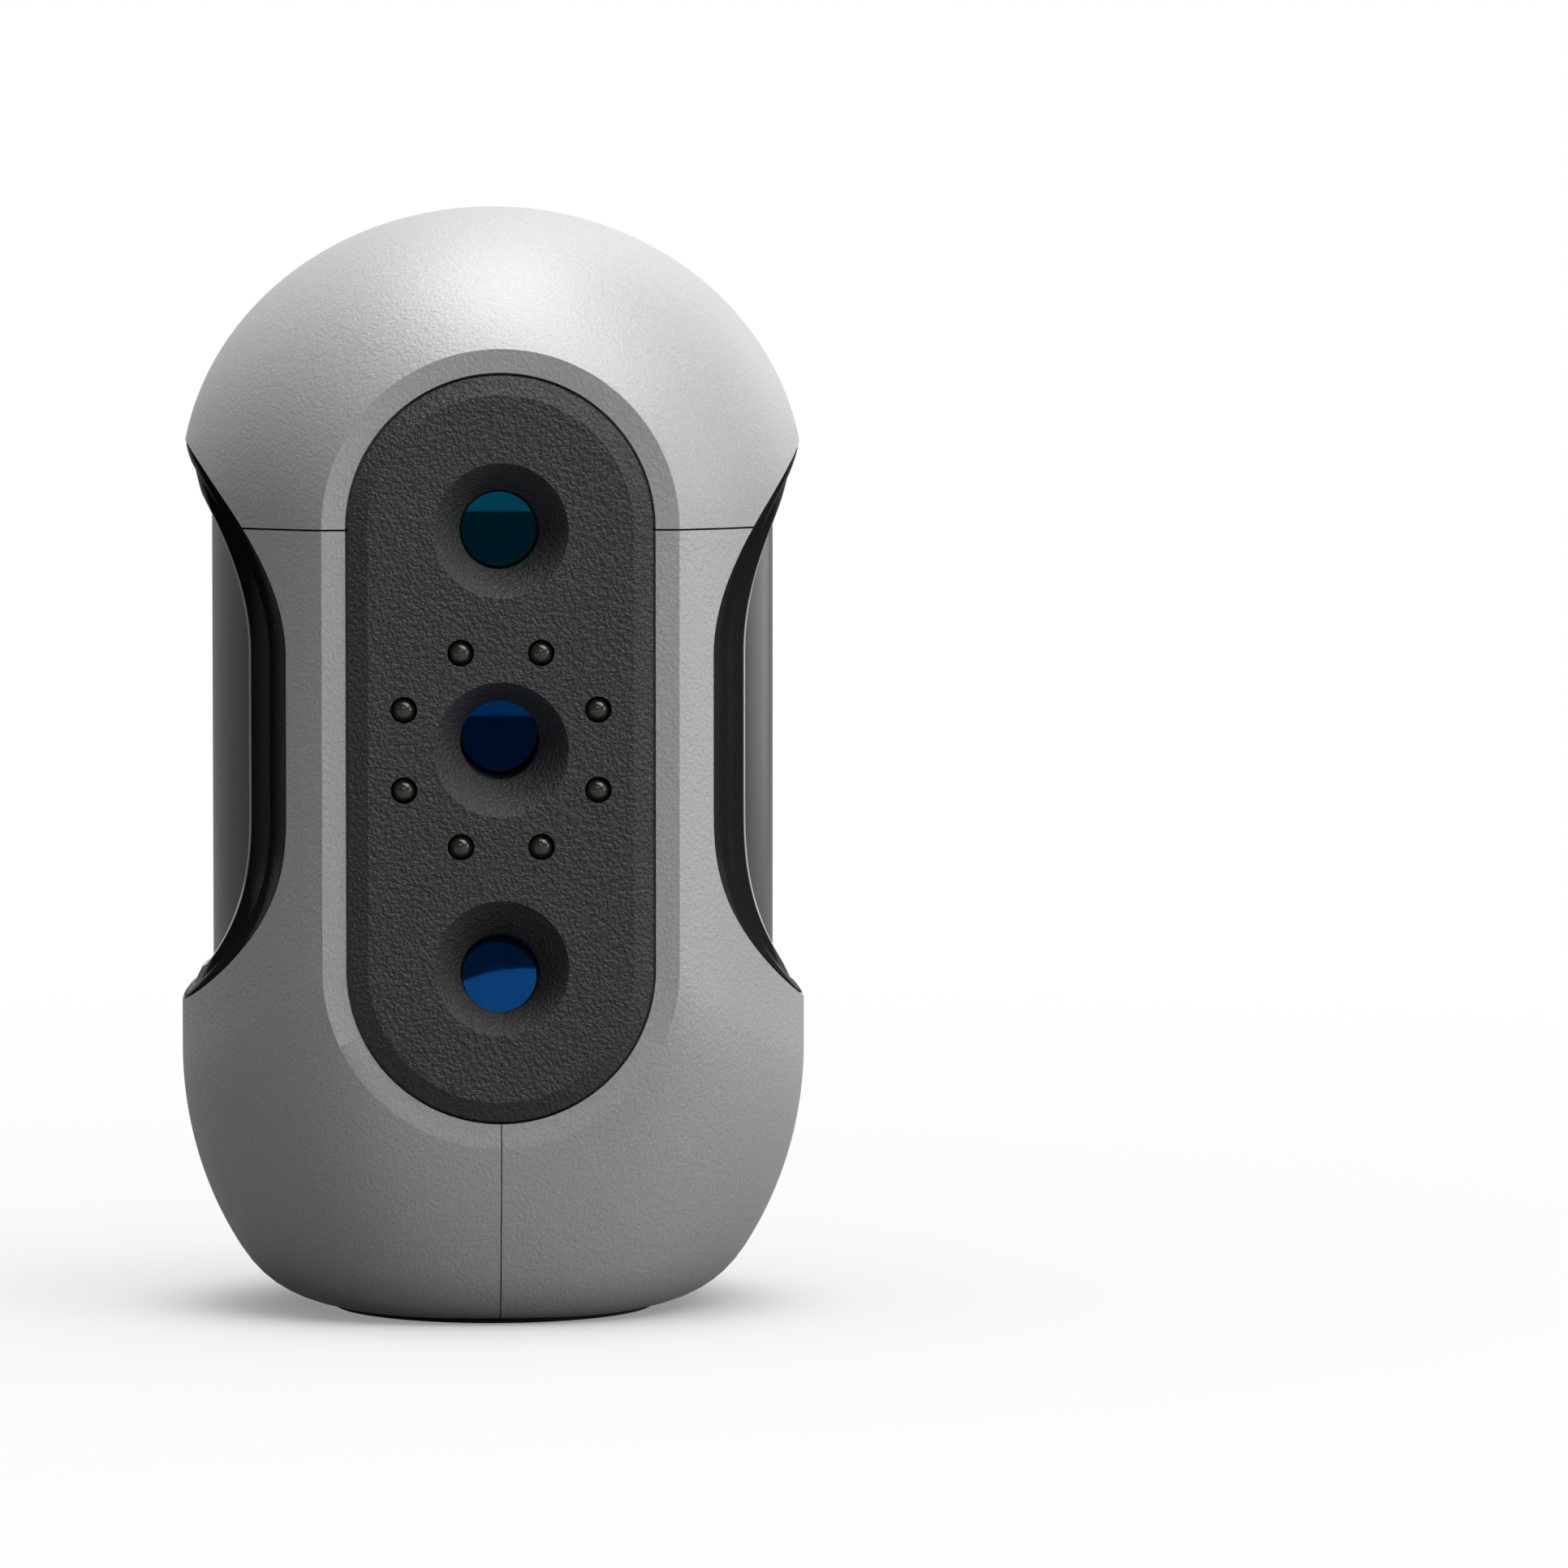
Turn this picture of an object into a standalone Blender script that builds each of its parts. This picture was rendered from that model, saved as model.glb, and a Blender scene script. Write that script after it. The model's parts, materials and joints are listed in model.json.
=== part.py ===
"""A hand-held structured-light three-d scanner, standing on its base.

Metres, +Z up. X is the width, and the lens panel faces -Y. The origin is on the ground
under the middle of the casing. The casing is a loft along Y, from the countersunk ring
round the panel, over the widest outline at Y 0, to the rear face. The black trims, the
grip column and the walls all follow that loft at their own depth under its surface.
"""

import math

import bmesh
import bpy

# Casing: the widest outline has a dome above and a bulb below straight sides
HEIGHT = 0.1166
HALF_WIDTH = 0.0330
DOME_RISE = 0.0298
BULB_HEIGHT = 0.0276
BULB_DROP = 0.0365
FRONT_DEPTH = 0.0260
BACK_DEPTH = 0.0263
REAR_HALF_WIDTH = 0.0120
REAR_BELOW_TOP = 0.0240
REAR_LOW = 0.0266
WALL = 0.0020
FLOOR_WALL = 0.0030
BASE_FILLET = 0.0060
FOOT_PROUD = 0.0003
SEAM_BELOW_TOP = 0.0334

# How full the loft is: a share over 1 keeps the front edge angled, near 1 it bulges out
SIDE_BLUFF_SHARE = 1.19
BASE_BLUFF_SHARE = 1.015
UNDER_BLUFF_SHARE = 1.09
UNDER_ROUNDNESS_SHARE = 4.2
UNDER_SPREAD_SHARE = 4.0
REAR_ROUNDNESS_SHARE = 2.2

# Gaps between pieces, and how far a cutter runs past what it cuts
GAP = 0.0003
OVERRUN = 0.0040
WELD_DISTANCE = 0.000001
FLAT_TURN = math.radians(0.05)
SHARP_TURN = math.radians(22.0)

# Share of a wall's thickness at which a boss or cup that grows out of it starts
ROOT_SHARE = 0.7

# Facets of the lofts, the turned pieces and the small fasteners
ARC_STEPS = 24
FILLET_STEPS = 2
FLAT_STEPS = 2
STEEPEST_TURN = math.radians(68.0)
FLATTEST_TURN = math.radians(83.0)
BISECTIONS = 30
SIDE_STEPS = 3
SHELL_STEPS = 8
LINER_STEPS = 4
COLUMN_STEPS = 10
TRIM_STEPS = 9
TRIM_WRAP_STEPS = 7
TURN_STEPS = 24
SMALL_STEPS = 10
PIN_STEPS = 6
DOME_STEPS = 2
CROWN_STEPS = 2
CORNER_STEPS = 3

# Countersunk ring and the seat behind it
RING_HALF_WIDTH = 0.0185
RING_BEYOND_LENSES = 0.01875
RING_BAND = 0.00275
RING_DEPTH = 0.0003
SEAT_WIDTH = 0.0016
SEAT_SETBACK = 0.0023
SEAT_THICKNESS = 0.0014

# Front panel
PANEL_CHAMFER = 0.0020
PANEL_PROUD = 0.0008
PANEL_THICKNESS = 0.0023
PANEL_RIM = 0.0013
GASKET_THICKNESS = 0.0005

# Lens modules, from top to bottom, and the recesses in front of them
LENS_SPACING = 0.02265
LENSES_OVER_MIDDLE = 0.0022
TOE_IN = math.radians(10.0)
RECESS_RADIUS = 0.0070
RECESS_DEPTH = 0.0041
BORE_RADIUS = 0.00415
CUP_WALL = 0.0012
CUP_LIP = 0.0008
WINDOW_SETBACK = 0.0030
WINDOW_THICKNESS = 0.0014
WINDOW_CROWN = 0.0004
BARREL_WALL = 0.00135
BARREL_LENGTH = 0.0123
BARREL_SHOULDER = 0.0008
FLANGE_WIDTH = 0.0115
FLANGE_THICKNESS = 0.0012
INNER_LENS_SETBACK = 0.0030
INNER_LENS_THICKNESS = 0.0016
SENSOR_BOARD_WIDTH = 0.0130
SENSOR_BOARD_THICKNESS = 0.0010
SENSOR_CHIP_WIDTH = 0.0060
SENSOR_CHIP_THICKNESS = 0.0009

# Ring of lamps round the middle lens
LAMP_COUNT = 8
LAMP_CIRCLE_RADIUS = 0.01087
LAMP_HOLE_RADIUS = 0.00139
LAMP_RADIUS = 0.00118
LAMP_FLANGE_RADIUS = 0.0016
LAMP_FLANGE_THICKNESS = 0.0006
LAMP_PROUD = 0.0001
LAMP_BOARD_RADIUS = 0.0133
LAMP_BOARD_THICKNESS = 0.0010

# Grip: the casing stops at the edge loop, the trims run from there in to the column loop
GRIP_UPPER_TURN = 0.0701
GRIP_LOWER_TURN = 0.0542
GRIP_LOWER_FULLNESS_SHARE = 2.7
EDGE_BEHIND_FRONT = 0.0030
EDGE_BELOW_TOP = 0.0249
EDGE_LOW = 0.0331
COLUMN_INSIDE_EDGE = 0.0085
COLUMN_UNDER_EDGE = 0.0057
COLUMN_OVER_EDGE = 0.0034
COLUMN_DEPTH = 0.0033
COLUMN_WALL = 0.0020
COLUMN_TUCK_SETBACK = 0.0030
COLUMN_TUCK = 0.0005
SPINE_HALF_WIDTH = 0.0190
SPINE_BEHIND_FRONT = 0.0070
TRIM_EDGE_DEPTH = 0.00015
TRIM_STEP_DEPTH = 0.0010
TRIM_STEP_DROP = 0.0003
TRIM_BEAD_DEPTH = 0.0022
TRIM_LINER_EDGE_DEPTH = 0.0010
TRIM_STEP_SHARE = 0.36
TRIM_STEP_END_SHARE = 0.38
TRIM_BEAD_SHARE = 0.93
TRIM_LINER_SHARE = 0.36
TRIM_CROWN_SHARE = 0.4
TRIM_BEAD_FALL_SHARE = 0.6

# Optical bench, its posts and screws
BENCH_SETBACK = 0.0094
BENCH_THICKNESS = 0.0020
BENCH_HALF_WIDTH = 0.0155
BENCH_ABOVE_LENSES = 0.00795
BENCH_BELOW_LENSES = 0.00825
BENCH_CORNER = 0.0040
POST_RADIUS = 0.0020
POST_ACROSS = 0.0110
POST_FROM_LAMPS = 0.0153
PILOT_RADIUS = 0.0013
PILOT_DEPTH = 0.0060
SCREW_RADIUS = 0.0010
SCREW_HEAD_RADIUS = 0.0019
SCREW_HEAD_HEIGHT = 0.0011
SCREW_SLOT_WIDTH = 0.0006
SCREW_SLOT_DEPTH = 0.0005
BENCH_SCREW_LENGTH = 0.0060

# Main board, processor and heat sink
STANDOFF_RADIUS = 0.0024
STANDOFF_LENGTH = 0.0102
STANDOFF_INSET = 0.0036
BOARD_THICKNESS = 0.0016
BOARD_SCREW_LENGTH = 0.0055
CHIP_WIDTH = 0.0140
CHIP_THICKNESS = 0.0014
SINK_HALF_WIDTH = 0.0105
SINK_HALF_HEIGHT = 0.0130
SINK_BASE = 0.0018
SINK_CLEARANCE = 0.0040
SINK_FIN_THICKNESS = 0.0010
SINK_FIN_COUNT = 6
FLEX_SOCKET_WIDTH = 0.0120
FLEX_SOCKET_HEIGHT = 0.0035
FLEX_SOCKET_THICKNESS = 0.0018
FLEX_SOCKET_FROM_EDGE = 0.0075

# Scan button, its switch and the status light, on the rear of the column
BUTTON_BELOW_TOP = 0.0446
BUTTON_RADIUS = 0.0050
BUTTON_PROUD = 0.0010
BUTTON_CROWN = 0.0004
BUTTON_DISH_SHARE = 0.6
BUTTON_FLANGE = 0.0010
BUTTON_FLANGE_THICKNESS = 0.0012
PLUNGER_RADIUS = 0.0017
PLUNGER_LENGTH = 0.0020
PLUNGER_TRAVEL_ROOM = 0.0010
SWITCH_WIDTH = 0.0060
SWITCH_DEPTH = 0.0032
BUTTON_BOARD_THICKNESS = 0.0012
BUTTON_BOARD_HALF_WIDTH = 0.0095
BUTTON_BOARD_BELOW = 0.0115
BUTTON_BOARD_ABOVE = 0.0125
BUTTON_POST_ACROSS = 0.0065
BUTTON_POST_BELOW = 0.0085
BUTTON_SCREW_LENGTH = 0.0045
LIGHT_ABOVE = 0.0090
LIGHT_RADIUS = 0.0011
LIGHT_PROUD = 0.0001
LIGHT_CHIP_WIDTH = 0.0020
LIGHT_CHIP_THICKNESS = 0.0006

# Round socket for the cable, low on the rear
SOCKET_HEIGHT = 0.0190
SOCKET_RADIUS = 0.0048
SOCKET_BORE_RADIUS = 0.0038
SOCKET_PROUD = 0.0014
SOCKET_LENGTH = 0.0120
SOCKET_SHOULDER_RADIUS = 0.0063
SOCKET_SHOULDER = 0.0020
SOCKET_WELL_RADIUS = 0.0075
SOCKET_WELL_DEPTH = 0.0034
SOCKET_WALL = 0.0026
SOCKET_BOSS_MARGIN = 0.0012
NUT_RADIUS = 0.0066
NUT_THICKNESS = 0.0011
NUT_FLATS = 6
INSERT_LENGTH = 0.0050
INSERT_FROM_BACK = 0.0006
PIN_COUNT = 6
PIN_RADIUS = 0.0004
PIN_LENGTH = 0.0022
PIN_CIRCLE_RADIUS = 0.0020

# Tripod plate and foot
FOOT_HALF_WIDTH = 0.0172
FOOT_FRONT = 0.0190
FOOT_BACK = 0.0155
FOOT_THICKNESS = 0.0012
TRIPOD_BORE_RADIUS = 0.0032
TRIPOD_BOSS_RADIUS = 0.0052
TRIPOD_BOSS_RECESS = 0.0002
TRIPOD_PLATE_HALF_WIDTH = 0.0125
TRIPOD_PLATE_HALF_DEPTH = 0.0095
TRIPOD_PLATE_THICKNESS = 0.0025
BASE_SCREW_ACROSS = 0.0095
BASE_SCREW_ALONG = 0.0065
BASE_SCREW_LENGTH = 0.0036

# Places worked out from the sizes above
REAR_TOP = HEIGHT - REAR_BELOW_TOP
SEAM_HEIGHT = HEIGHT - SEAM_BELOW_TOP
EDGE_TOP = HEIGHT - EDGE_BELOW_TOP
EDGE_REACH = FRONT_DEPTH - EDGE_BEHIND_FRONT
COLUMN_REACH = EDGE_REACH - COLUMN_INSIDE_EDGE
COLUMN_TUCK_REACH = EDGE_REACH - COLUMN_TUCK_SETBACK
SPINE_BACK = FRONT_DEPTH - SPINE_BEHIND_FRONT
COLUMN_TOP = EDGE_TOP - COLUMN_UNDER_EDGE
COLUMN_LOW = EDGE_LOW + COLUMN_OVER_EDGE
BUTTON_HEIGHT = HEIGHT - BUTTON_BELOW_TOP
MIDDLE_LENS_HEIGHT = HEIGHT / 2 + LENSES_OVER_MIDDLE
UPPER_LENS_HEIGHT = MIDDLE_LENS_HEIGHT + LENS_SPACING
LOWER_LENS_HEIGHT = MIDDLE_LENS_HEIGHT - LENS_SPACING
RING_TOP = UPPER_LENS_HEIGHT + RING_BEYOND_LENSES
RING_LOW = LOWER_LENS_HEIGHT - RING_BEYOND_LENSES
BENCH_TOP = UPPER_LENS_HEIGHT + BENCH_ABOVE_LENSES
BENCH_LOW = LOWER_LENS_HEIGHT - BENCH_BELOW_LENSES
PANEL_FACE = -FRONT_DEPTH - PANEL_PROUD
PANEL_BACK = PANEL_FACE + PANEL_THICKNESS
PANEL_HALF_WIDTH = RING_HALF_WIDTH - RING_BAND
PANEL_TOP = RING_TOP - RING_BAND
PANEL_LOW = RING_LOW + RING_BAND
RING_FLOOR = -FRONT_DEPTH + RING_DEPTH
SEAT_FRONT = RING_FLOOR + SEAT_SETBACK
SEAT_BACK = SEAT_FRONT + SEAT_THICKNESS
CASING_FLOOR = FOOT_PROUD + FLOOR_WALL
BORE_FACE = PANEL_FACE + RECESS_DEPTH
CUP_BACK = BORE_FACE + CUP_LIP
BARREL_RADIUS = BORE_RADIUS + BARREL_WALL
LAMP_BOARD_FRONT = PANEL_BACK + GAP + LAMP_FLANGE_THICKNESS + GAP
COLUMN_FACE = BACK_DEPTH - COLUMN_DEPTH
COLUMN_BACK_WALL = COLUMN_FACE - COLUMN_WALL
BENCH_FACE = PANEL_BACK + BENCH_SETBACK
BENCH_BACK = BENCH_FACE + BENCH_THICKNESS
BOARD_FRONT = BENCH_BACK + STANDOFF_LENGTH + GAP
BOARD_BACK = BOARD_FRONT + BOARD_THICKNESS
BUTTON_BACK = COLUMN_BACK_WALL - GAP - BUTTON_FLANGE_THICKNESS
PLUNGER_BACK = BUTTON_BACK - GAP - PLUNGER_LENGTH
SWITCH_FACE = PLUNGER_BACK + PLUNGER_TRAVEL_ROOM
BUTTON_BOARD_FACE = SWITCH_FACE - SWITCH_DEPTH
BUTTON_BOARD_FRONT = BUTTON_BOARD_FACE - BUTTON_BOARD_THICKNESS
BUTTON_SCREW_FRONT = BUTTON_BOARD_FRONT - GAP - SCREW_HEAD_HEIGHT
SOCKET_FACE = BACK_DEPTH - SOCKET_WELL_DEPTH
SOCKET_BACK_WALL = SOCKET_FACE - SOCKET_WALL
FOOT_SEAT = FOOT_THICKNESS + GAP
TRIPOD_PLATE_LOW = CASING_FLOOR + GAP
LENSES = {
    "upper": (UPPER_LENS_HEIGHT, 0.0),
    "middle": (MIDDLE_LENS_HEIGHT, TOE_IN),
    "lower": (LOWER_LENS_HEIGHT, -TOE_IN),
}

UPRIGHT_TO_BACK = -math.pi / 2


# Scene, materials and basic solids


def blend(start, end, share):
    return start + (end - start) * share


def midway(start, end):
    return (start + end) / 2


def clear_scene():
    for old in list(bpy.data.objects):
        bpy.data.objects.remove(old)


def new_collection(name):
    collection = bpy.data.collections.new(name)
    bpy.context.scene.collection.children.link(collection)
    return collection


def finish_material(name, colour, roughness, metallic=0.0, transmission=0.0):
    """A Principled material with a plain finish."""
    material = bpy.data.materials.new(name)
    material.use_nodes = True
    shader = material.node_tree.nodes["Principled BSDF"]
    shader.inputs["Base Color"].default_value = (*colour, 1.0)
    shader.inputs["Roughness"].default_value = roughness
    shader.inputs["Metallic"].default_value = metallic
    shader.inputs["Transmission Weight"].default_value = transmission
    material.diffuse_color = (*colour, 1.0)
    return material


def add_piece(name, mesh, material):
    """A finished sub-part, in the object's own collection."""
    piece = bpy.data.objects.new(name, mesh)
    PARTS.objects.link(piece)
    piece.data.materials.clear()
    piece.data.materials.append(material)
    return piece


def add_cutter(name, mesh):
    """A helper solid, which isn't part of the object."""
    cutter = bpy.data.objects.new(name, mesh)
    CUTTERS.objects.link(cutter)
    cutter.hide_render = True
    cutter.display_type = "WIRE"
    return cutter


def mesh_from(builder, name):
    mesh = bpy.data.meshes.new(name)
    builder.to_mesh(mesh)
    builder.free()
    return mesh


def smooth(piece):
    """Shades round faces smooth and keeps real edges sharp."""
    piece.data.shade_smooth()
    piece.data.set_sharp_from_angle(angle=SHARP_TURN)
    return piece


def evaluated_mesh(piece):
    bpy.context.view_layer.update()
    graph = bpy.context.evaluated_depsgraph_get()
    return bpy.data.meshes.new_from_object(piece.evaluated_get(graph))


def tidy_mesh(mesh):
    """Welds doubled points, joins facets that lie in one plane, and turns faces outwards."""
    builder = bmesh.new()
    builder.from_mesh(mesh)
    bmesh.ops.remove_doubles(builder, verts=builder.verts, dist=WELD_DISTANCE)
    bmesh.ops.dissolve_degenerate(builder, edges=builder.edges, dist=WELD_DISTANCE)
    bmesh.ops.dissolve_limit(
        builder, angle_limit=FLAT_TURN, verts=builder.verts, edges=builder.edges
    )
    bmesh.ops.recalc_face_normals(builder, faces=builder.faces)
    builder.to_mesh(mesh)
    builder.free()
    return mesh


def combine(target, tool, operation, keep_tool=False):
    """Bakes a Boolean of target with tool into target's mesh."""
    boolean = target.modifiers.new(operation.lower(), "BOOLEAN")
    boolean.operation = operation
    boolean.solver = "EXACT"
    boolean.object = tool
    target.data = tidy_mesh(evaluated_mesh(target))
    target.modifiers.clear()
    if not keep_tool:
        bpy.data.objects.remove(tool)
    return target


def cut(target, tool, keep_tool=False):
    return combine(target, tool, "DIFFERENCE", keep_tool)


def join(target, tool):
    return combine(target, tool, "UNION")


def keep_inside(target, tool, keep_tool=False):
    return combine(target, tool, "INTERSECT", keep_tool)


def box_mesh(name, low, high):
    """A box between two corners."""
    builder = bmesh.new()
    bmesh.ops.create_cube(builder, size=1.0)
    for vert in builder.verts:
        vert.co = [
            low[k] + (high[k] - low[k]) * (vert.co[k] + 0.5) for k in range(3)
        ]
    return mesh_from(builder, name)


def box_cutter(low, high):
    return add_cutter("box", box_mesh("box", low, high))


def rod_mesh(name, radius, low, high, steps=TURN_STEPS):
    """A rod along local Z."""
    builder = bmesh.new()
    bmesh.ops.create_cone(
        builder,
        cap_ends=True,
        segments=steps,
        radius1=radius,
        radius2=radius,
        depth=high - low,
    )
    bmesh.ops.translate(builder, verts=builder.verts, vec=(0.0, 0.0, (low + high) / 2))
    return mesh_from(builder, name)


def rod_cutter(radius, start, end, place, lean=UPRIGHT_TO_BACK, steps=TURN_STEPS):
    """A rod that runs from start to end behind place, along Y unless told to lean."""
    cutter = add_cutter("rod", rod_mesh("rod", radius, start, end, steps))
    cutter.location = place
    cutter.rotation_euler = (lean, 0.0, 0.0)
    return cutter


def turned_piece(name, profile, material, place, lean=UPRIGHT_TO_BACK, steps=TURN_STEPS):
    """A turned solid: its profile of radius and height runs down the outer side."""
    builder = bmesh.new()
    points = [builder.verts.new((radius, 0.0, height)) for radius, height in profile]
    for first, second in zip(points, points[1:]):
        builder.edges.new((first, second))
    if profile[0][0] > 0.0:
        builder.edges.new((points[-1], points[0]))
    piece = add_piece(name, mesh_from(builder, name), material)
    screw = piece.modifiers.new("turn", "SCREW")
    screw.axis = "Z"
    screw.steps = steps
    screw.render_steps = steps
    screw.use_merge_vertices = True
    screw.merge_threshold = 0.00001
    piece.data = tidy_mesh(evaluated_mesh(piece))
    piece.modifiers.clear()
    piece.location = place
    piece.rotation_euler = (lean, 0.0, 0.0)
    return smooth(piece)


def plate_mesh(name, outline, thickness):
    """A flat outline in local X and Y, as thick as given and centred on local Z."""
    curve = bpy.data.curves.new(name, "CURVE")
    curve.dimensions = "2D"
    curve.fill_mode = "BOTH"
    curve.extrude = thickness / 2
    spline = curve.splines.new("POLY")
    spline.points.add(len(outline) - 1)
    for point, (across, along) in zip(spline.points, outline):
        point.co = (across, along, 0.0, 1.0)
    spline.use_cyclic_u = True
    flat = bpy.data.objects.new(name, curve)
    CUTTERS.objects.link(flat)
    mesh = evaluated_mesh(flat)
    bpy.data.objects.remove(flat)
    builder = bmesh.new()
    builder.from_mesh(mesh)
    bmesh.ops.remove_doubles(builder, verts=builder.verts, dist=0.000001)
    bmesh.ops.recalc_face_normals(builder, faces=builder.faces)
    return mesh_from(builder, name)


# The casing's loft


def stadium(half_width, top, low):
    """An outline with round ends: half width, then centre and reach of each end."""
    return (half_width, top - half_width, half_width, low + half_width, half_width)


def inset(shape, depth):
    half_width, upper, rise, lower, drop = shape
    return (half_width - depth, upper, rise - depth, lower, drop - depth)


WIDEST = (HALF_WIDTH, HEIGHT - DOME_RISE, DOME_RISE, BULB_HEIGHT, BULB_DROP)
RING = stadium(RING_HALF_WIDTH, RING_TOP, RING_LOW)
REAR = stadium(REAR_HALF_WIDTH, REAR_TOP, REAR_LOW)
PANEL = stadium(PANEL_HALF_WIDTH, PANEL_TOP, PANEL_LOW)


def lower_turns(steep, flat):
    """Turns of the lower arc from its left end: its steps gather between two turns."""
    half = math.pi / 2
    wall_steps = ARC_STEPS // 2 - FILLET_STEPS - FLAT_STEPS
    turns = [steep * step / wall_steps for step in range(wall_steps)]
    turns += [blend(steep, flat, step / FILLET_STEPS) for step in range(FILLET_STEPS)]
    turns += [blend(flat, half, step / FLAT_STEPS) for step in range(FLAT_STEPS)]
    return turns + [half] + [math.pi - turn for turn in reversed(turns)]


def rim_directions(steep=None, flat=None):
    """Directions round an outline, each with the share of the way down its side."""
    turns = [math.pi * step / ARC_STEPS for step in range(ARC_STEPS + 1)]
    lower = turns if steep is None else lower_turns(steep, flat)
    sides = [step / SIDE_STEPS for step in range(1, SIDE_STEPS)]
    rim = [(math.cos(turn), math.sin(turn), 0.0) for turn in turns]
    rim += [(-1.0, 0.0, share) for share in sides]
    rim += [(-math.cos(turn), -math.sin(turn), 1.0) for turn in lower]
    rim += [(1.0, 0.0, 1.0 - share) for share in sides]
    return rim


def rim_point(shape, direction):
    half_width, upper, rise, lower, drop = shape
    across, along, share = direction
    reach = rise if share == 0.0 else drop
    return half_width * across, blend(upper, lower, share) + reach * along


def flat_section(shape, y):
    """The outline of a shape at one place along Y."""
    points = [rim_point(shape, direction) for direction in rim_directions()]
    return [(x, y, z) for x, z in points]


def bulge(forward, bluff, roundness):
    """Share of the widest section, on a superellipse that the front plane cuts off."""
    end = (1.0 - bluff**-roundness) ** (1.0 / roundness)
    here = max(0.0, 1.0 - (forward / bluff) ** roundness) ** (1.0 / roundness)
    return (here - end) / (1.0 - end)


def fullness(y, depth, down=0.0):
    """Share of the widest section at a station: fuller under the panel than beside it."""
    if y > 0.0:
        roundness = REAR_ROUNDNESS_SHARE
        return max(0.0, 1.0 - (y / (BACK_DEPTH - depth)) ** roundness) ** (1.0 / roundness)
    forward = -y / (FRONT_DEPTH - depth)
    bluff = blend(SIDE_BLUFF_SHARE, BASE_BLUFF_SHARE, down**2)
    beside = bulge(forward, bluff, 2.0)
    under = bulge(forward, UNDER_BLUFF_SHARE, UNDER_ROUNDNESS_SHARE)
    return blend(beside, under, down**UNDER_SPREAD_SHARE)


def shape_at(y, depth, down=0.0):
    """Section of the body at y, a depth under the surface, on its way down by a share."""
    end = inset(REAR if y > 0.0 else RING, depth)
    widest = inset(WIDEST, depth)
    share = fullness(y, depth, down)
    return [blend(a, b, share) for a, b in zip(end, widest)]


def above_floor(z, floor):
    """Flattens what lies under the floor, with a fillet where the flat starts."""
    rise = z - floor
    if rise >= BASE_FILLET:
        return z
    if rise <= -BASE_FILLET:
        return floor
    return floor + (rise + BASE_FILLET) ** 2 / (4.0 * BASE_FILLET)


def loft_point(y, depth, direction):
    """Where the surface is, in one direction, before its base is cut flat."""
    down = max(0.0, -direction[1])
    return rim_point(shape_at(y, depth, down), direction)


def turn_at_height(y, depth, height, latest):
    """The turn at which a section's lower arc comes down to a height."""
    early = 0.0
    late = latest
    for _ in range(BISECTIONS):
        middle = (early + late) / 2
        low = loft_point(y, depth, (math.cos(middle), -math.sin(middle), 1.0))[1]
        if low > height:
            early = middle
        else:
            late = middle
    return late


def body_section(y, depth, floor):
    """One section of the loft, depth under the surface and cut flat at the floor."""
    steep = turn_at_height(y, depth, floor + BASE_FILLET, STEEPEST_TURN)
    flat = turn_at_height(y, depth, floor - BASE_FILLET, FLATTEST_TURN)
    points = []
    for direction in rim_directions(steep, flat):
        x, z = loft_point(y, depth, direction)
        points.append((x, y, above_floor(z, floor)))
    return points


def side_reach(y, z, depth):
    """Half the width of the loft at one place in the side view."""
    half_width, upper, rise, lower, drop = shape_at(y, depth)
    if z > upper:
        return half_width * math.sqrt(max(0.0, 1.0 - ((z - upper) / rise) ** 2))
    if z < lower:
        return half_width * math.sqrt(max(0.0, 1.0 - ((lower - z) / drop) ** 2))
    return half_width


def quarter(steps):
    """Even turns from zero to a quarter of a circle."""
    return [math.pi / 2 * step / steps for step in range(steps + 1)]


def quarter_shares(steps):
    """Shares from zero to one that come closer together towards one."""
    return [math.sin(turn) for turn in quarter(steps)]


def loft_mesh(name, sections):
    """A closed solid through sections that each have the same number of points."""
    builder = bmesh.new()
    rings = [[builder.verts.new(point) for point in section] for section in sections]
    for near, far in zip(rings, rings[1:]):
        for k in range(len(near)):
            after = (k + 1) % len(near)
            builder.faces.new((near[k], near[after], far[after], far[k]))
    builder.faces.new(rings[0])
    builder.faces.new(rings[-1])
    bmesh.ops.recalc_face_normals(builder, faces=builder.faces)
    bmesh.ops.triangulate(builder, faces=builder.faces)
    return mesh_from(builder, name)


def body_stations(depth, steps, front_to_back, front_limit=None):
    """Places along Y for a loft at this depth, closer together towards both ends."""
    front = [-(FRONT_DEPTH - depth) * share for share in reversed(quarter_shares(steps))]
    back = [(BACK_DEPTH - depth) * share for share in quarter_shares(steps)[1:]]
    stations = front + back
    if front_limit is not None:
        stations = [front_limit] + [y for y in stations if y > front_limit + WALL / 2]
    return stations if front_to_back else stations[::-1]


def casing_shell():
    """The whole casing as one thick bowl, open at the front round the panel."""
    opening = inset(PANEL, -GAP)
    seat = inset(opening, SEAT_WIDTH)
    outer = [
        body_section(y, 0.0, FOOT_PROUD)
        for y in body_stations(0.0, SHELL_STEPS, front_to_back=False)
    ]
    ring = [
        flat_section(opening, RING_FLOOR),
        flat_section(opening, SEAT_FRONT),
        flat_section(seat, SEAT_FRONT),
        flat_section(seat, SEAT_BACK),
    ]
    inner = [
        body_section(y, WALL, CASING_FLOOR)
        for y in body_stations(WALL, LINER_STEPS, True, front_limit=SEAT_BACK)
    ]
    return add_cutter("casing_shell", loft_mesh("casing_shell", outer + ring + inner))


# The grip: loops in the side view, and what lies between them


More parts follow.
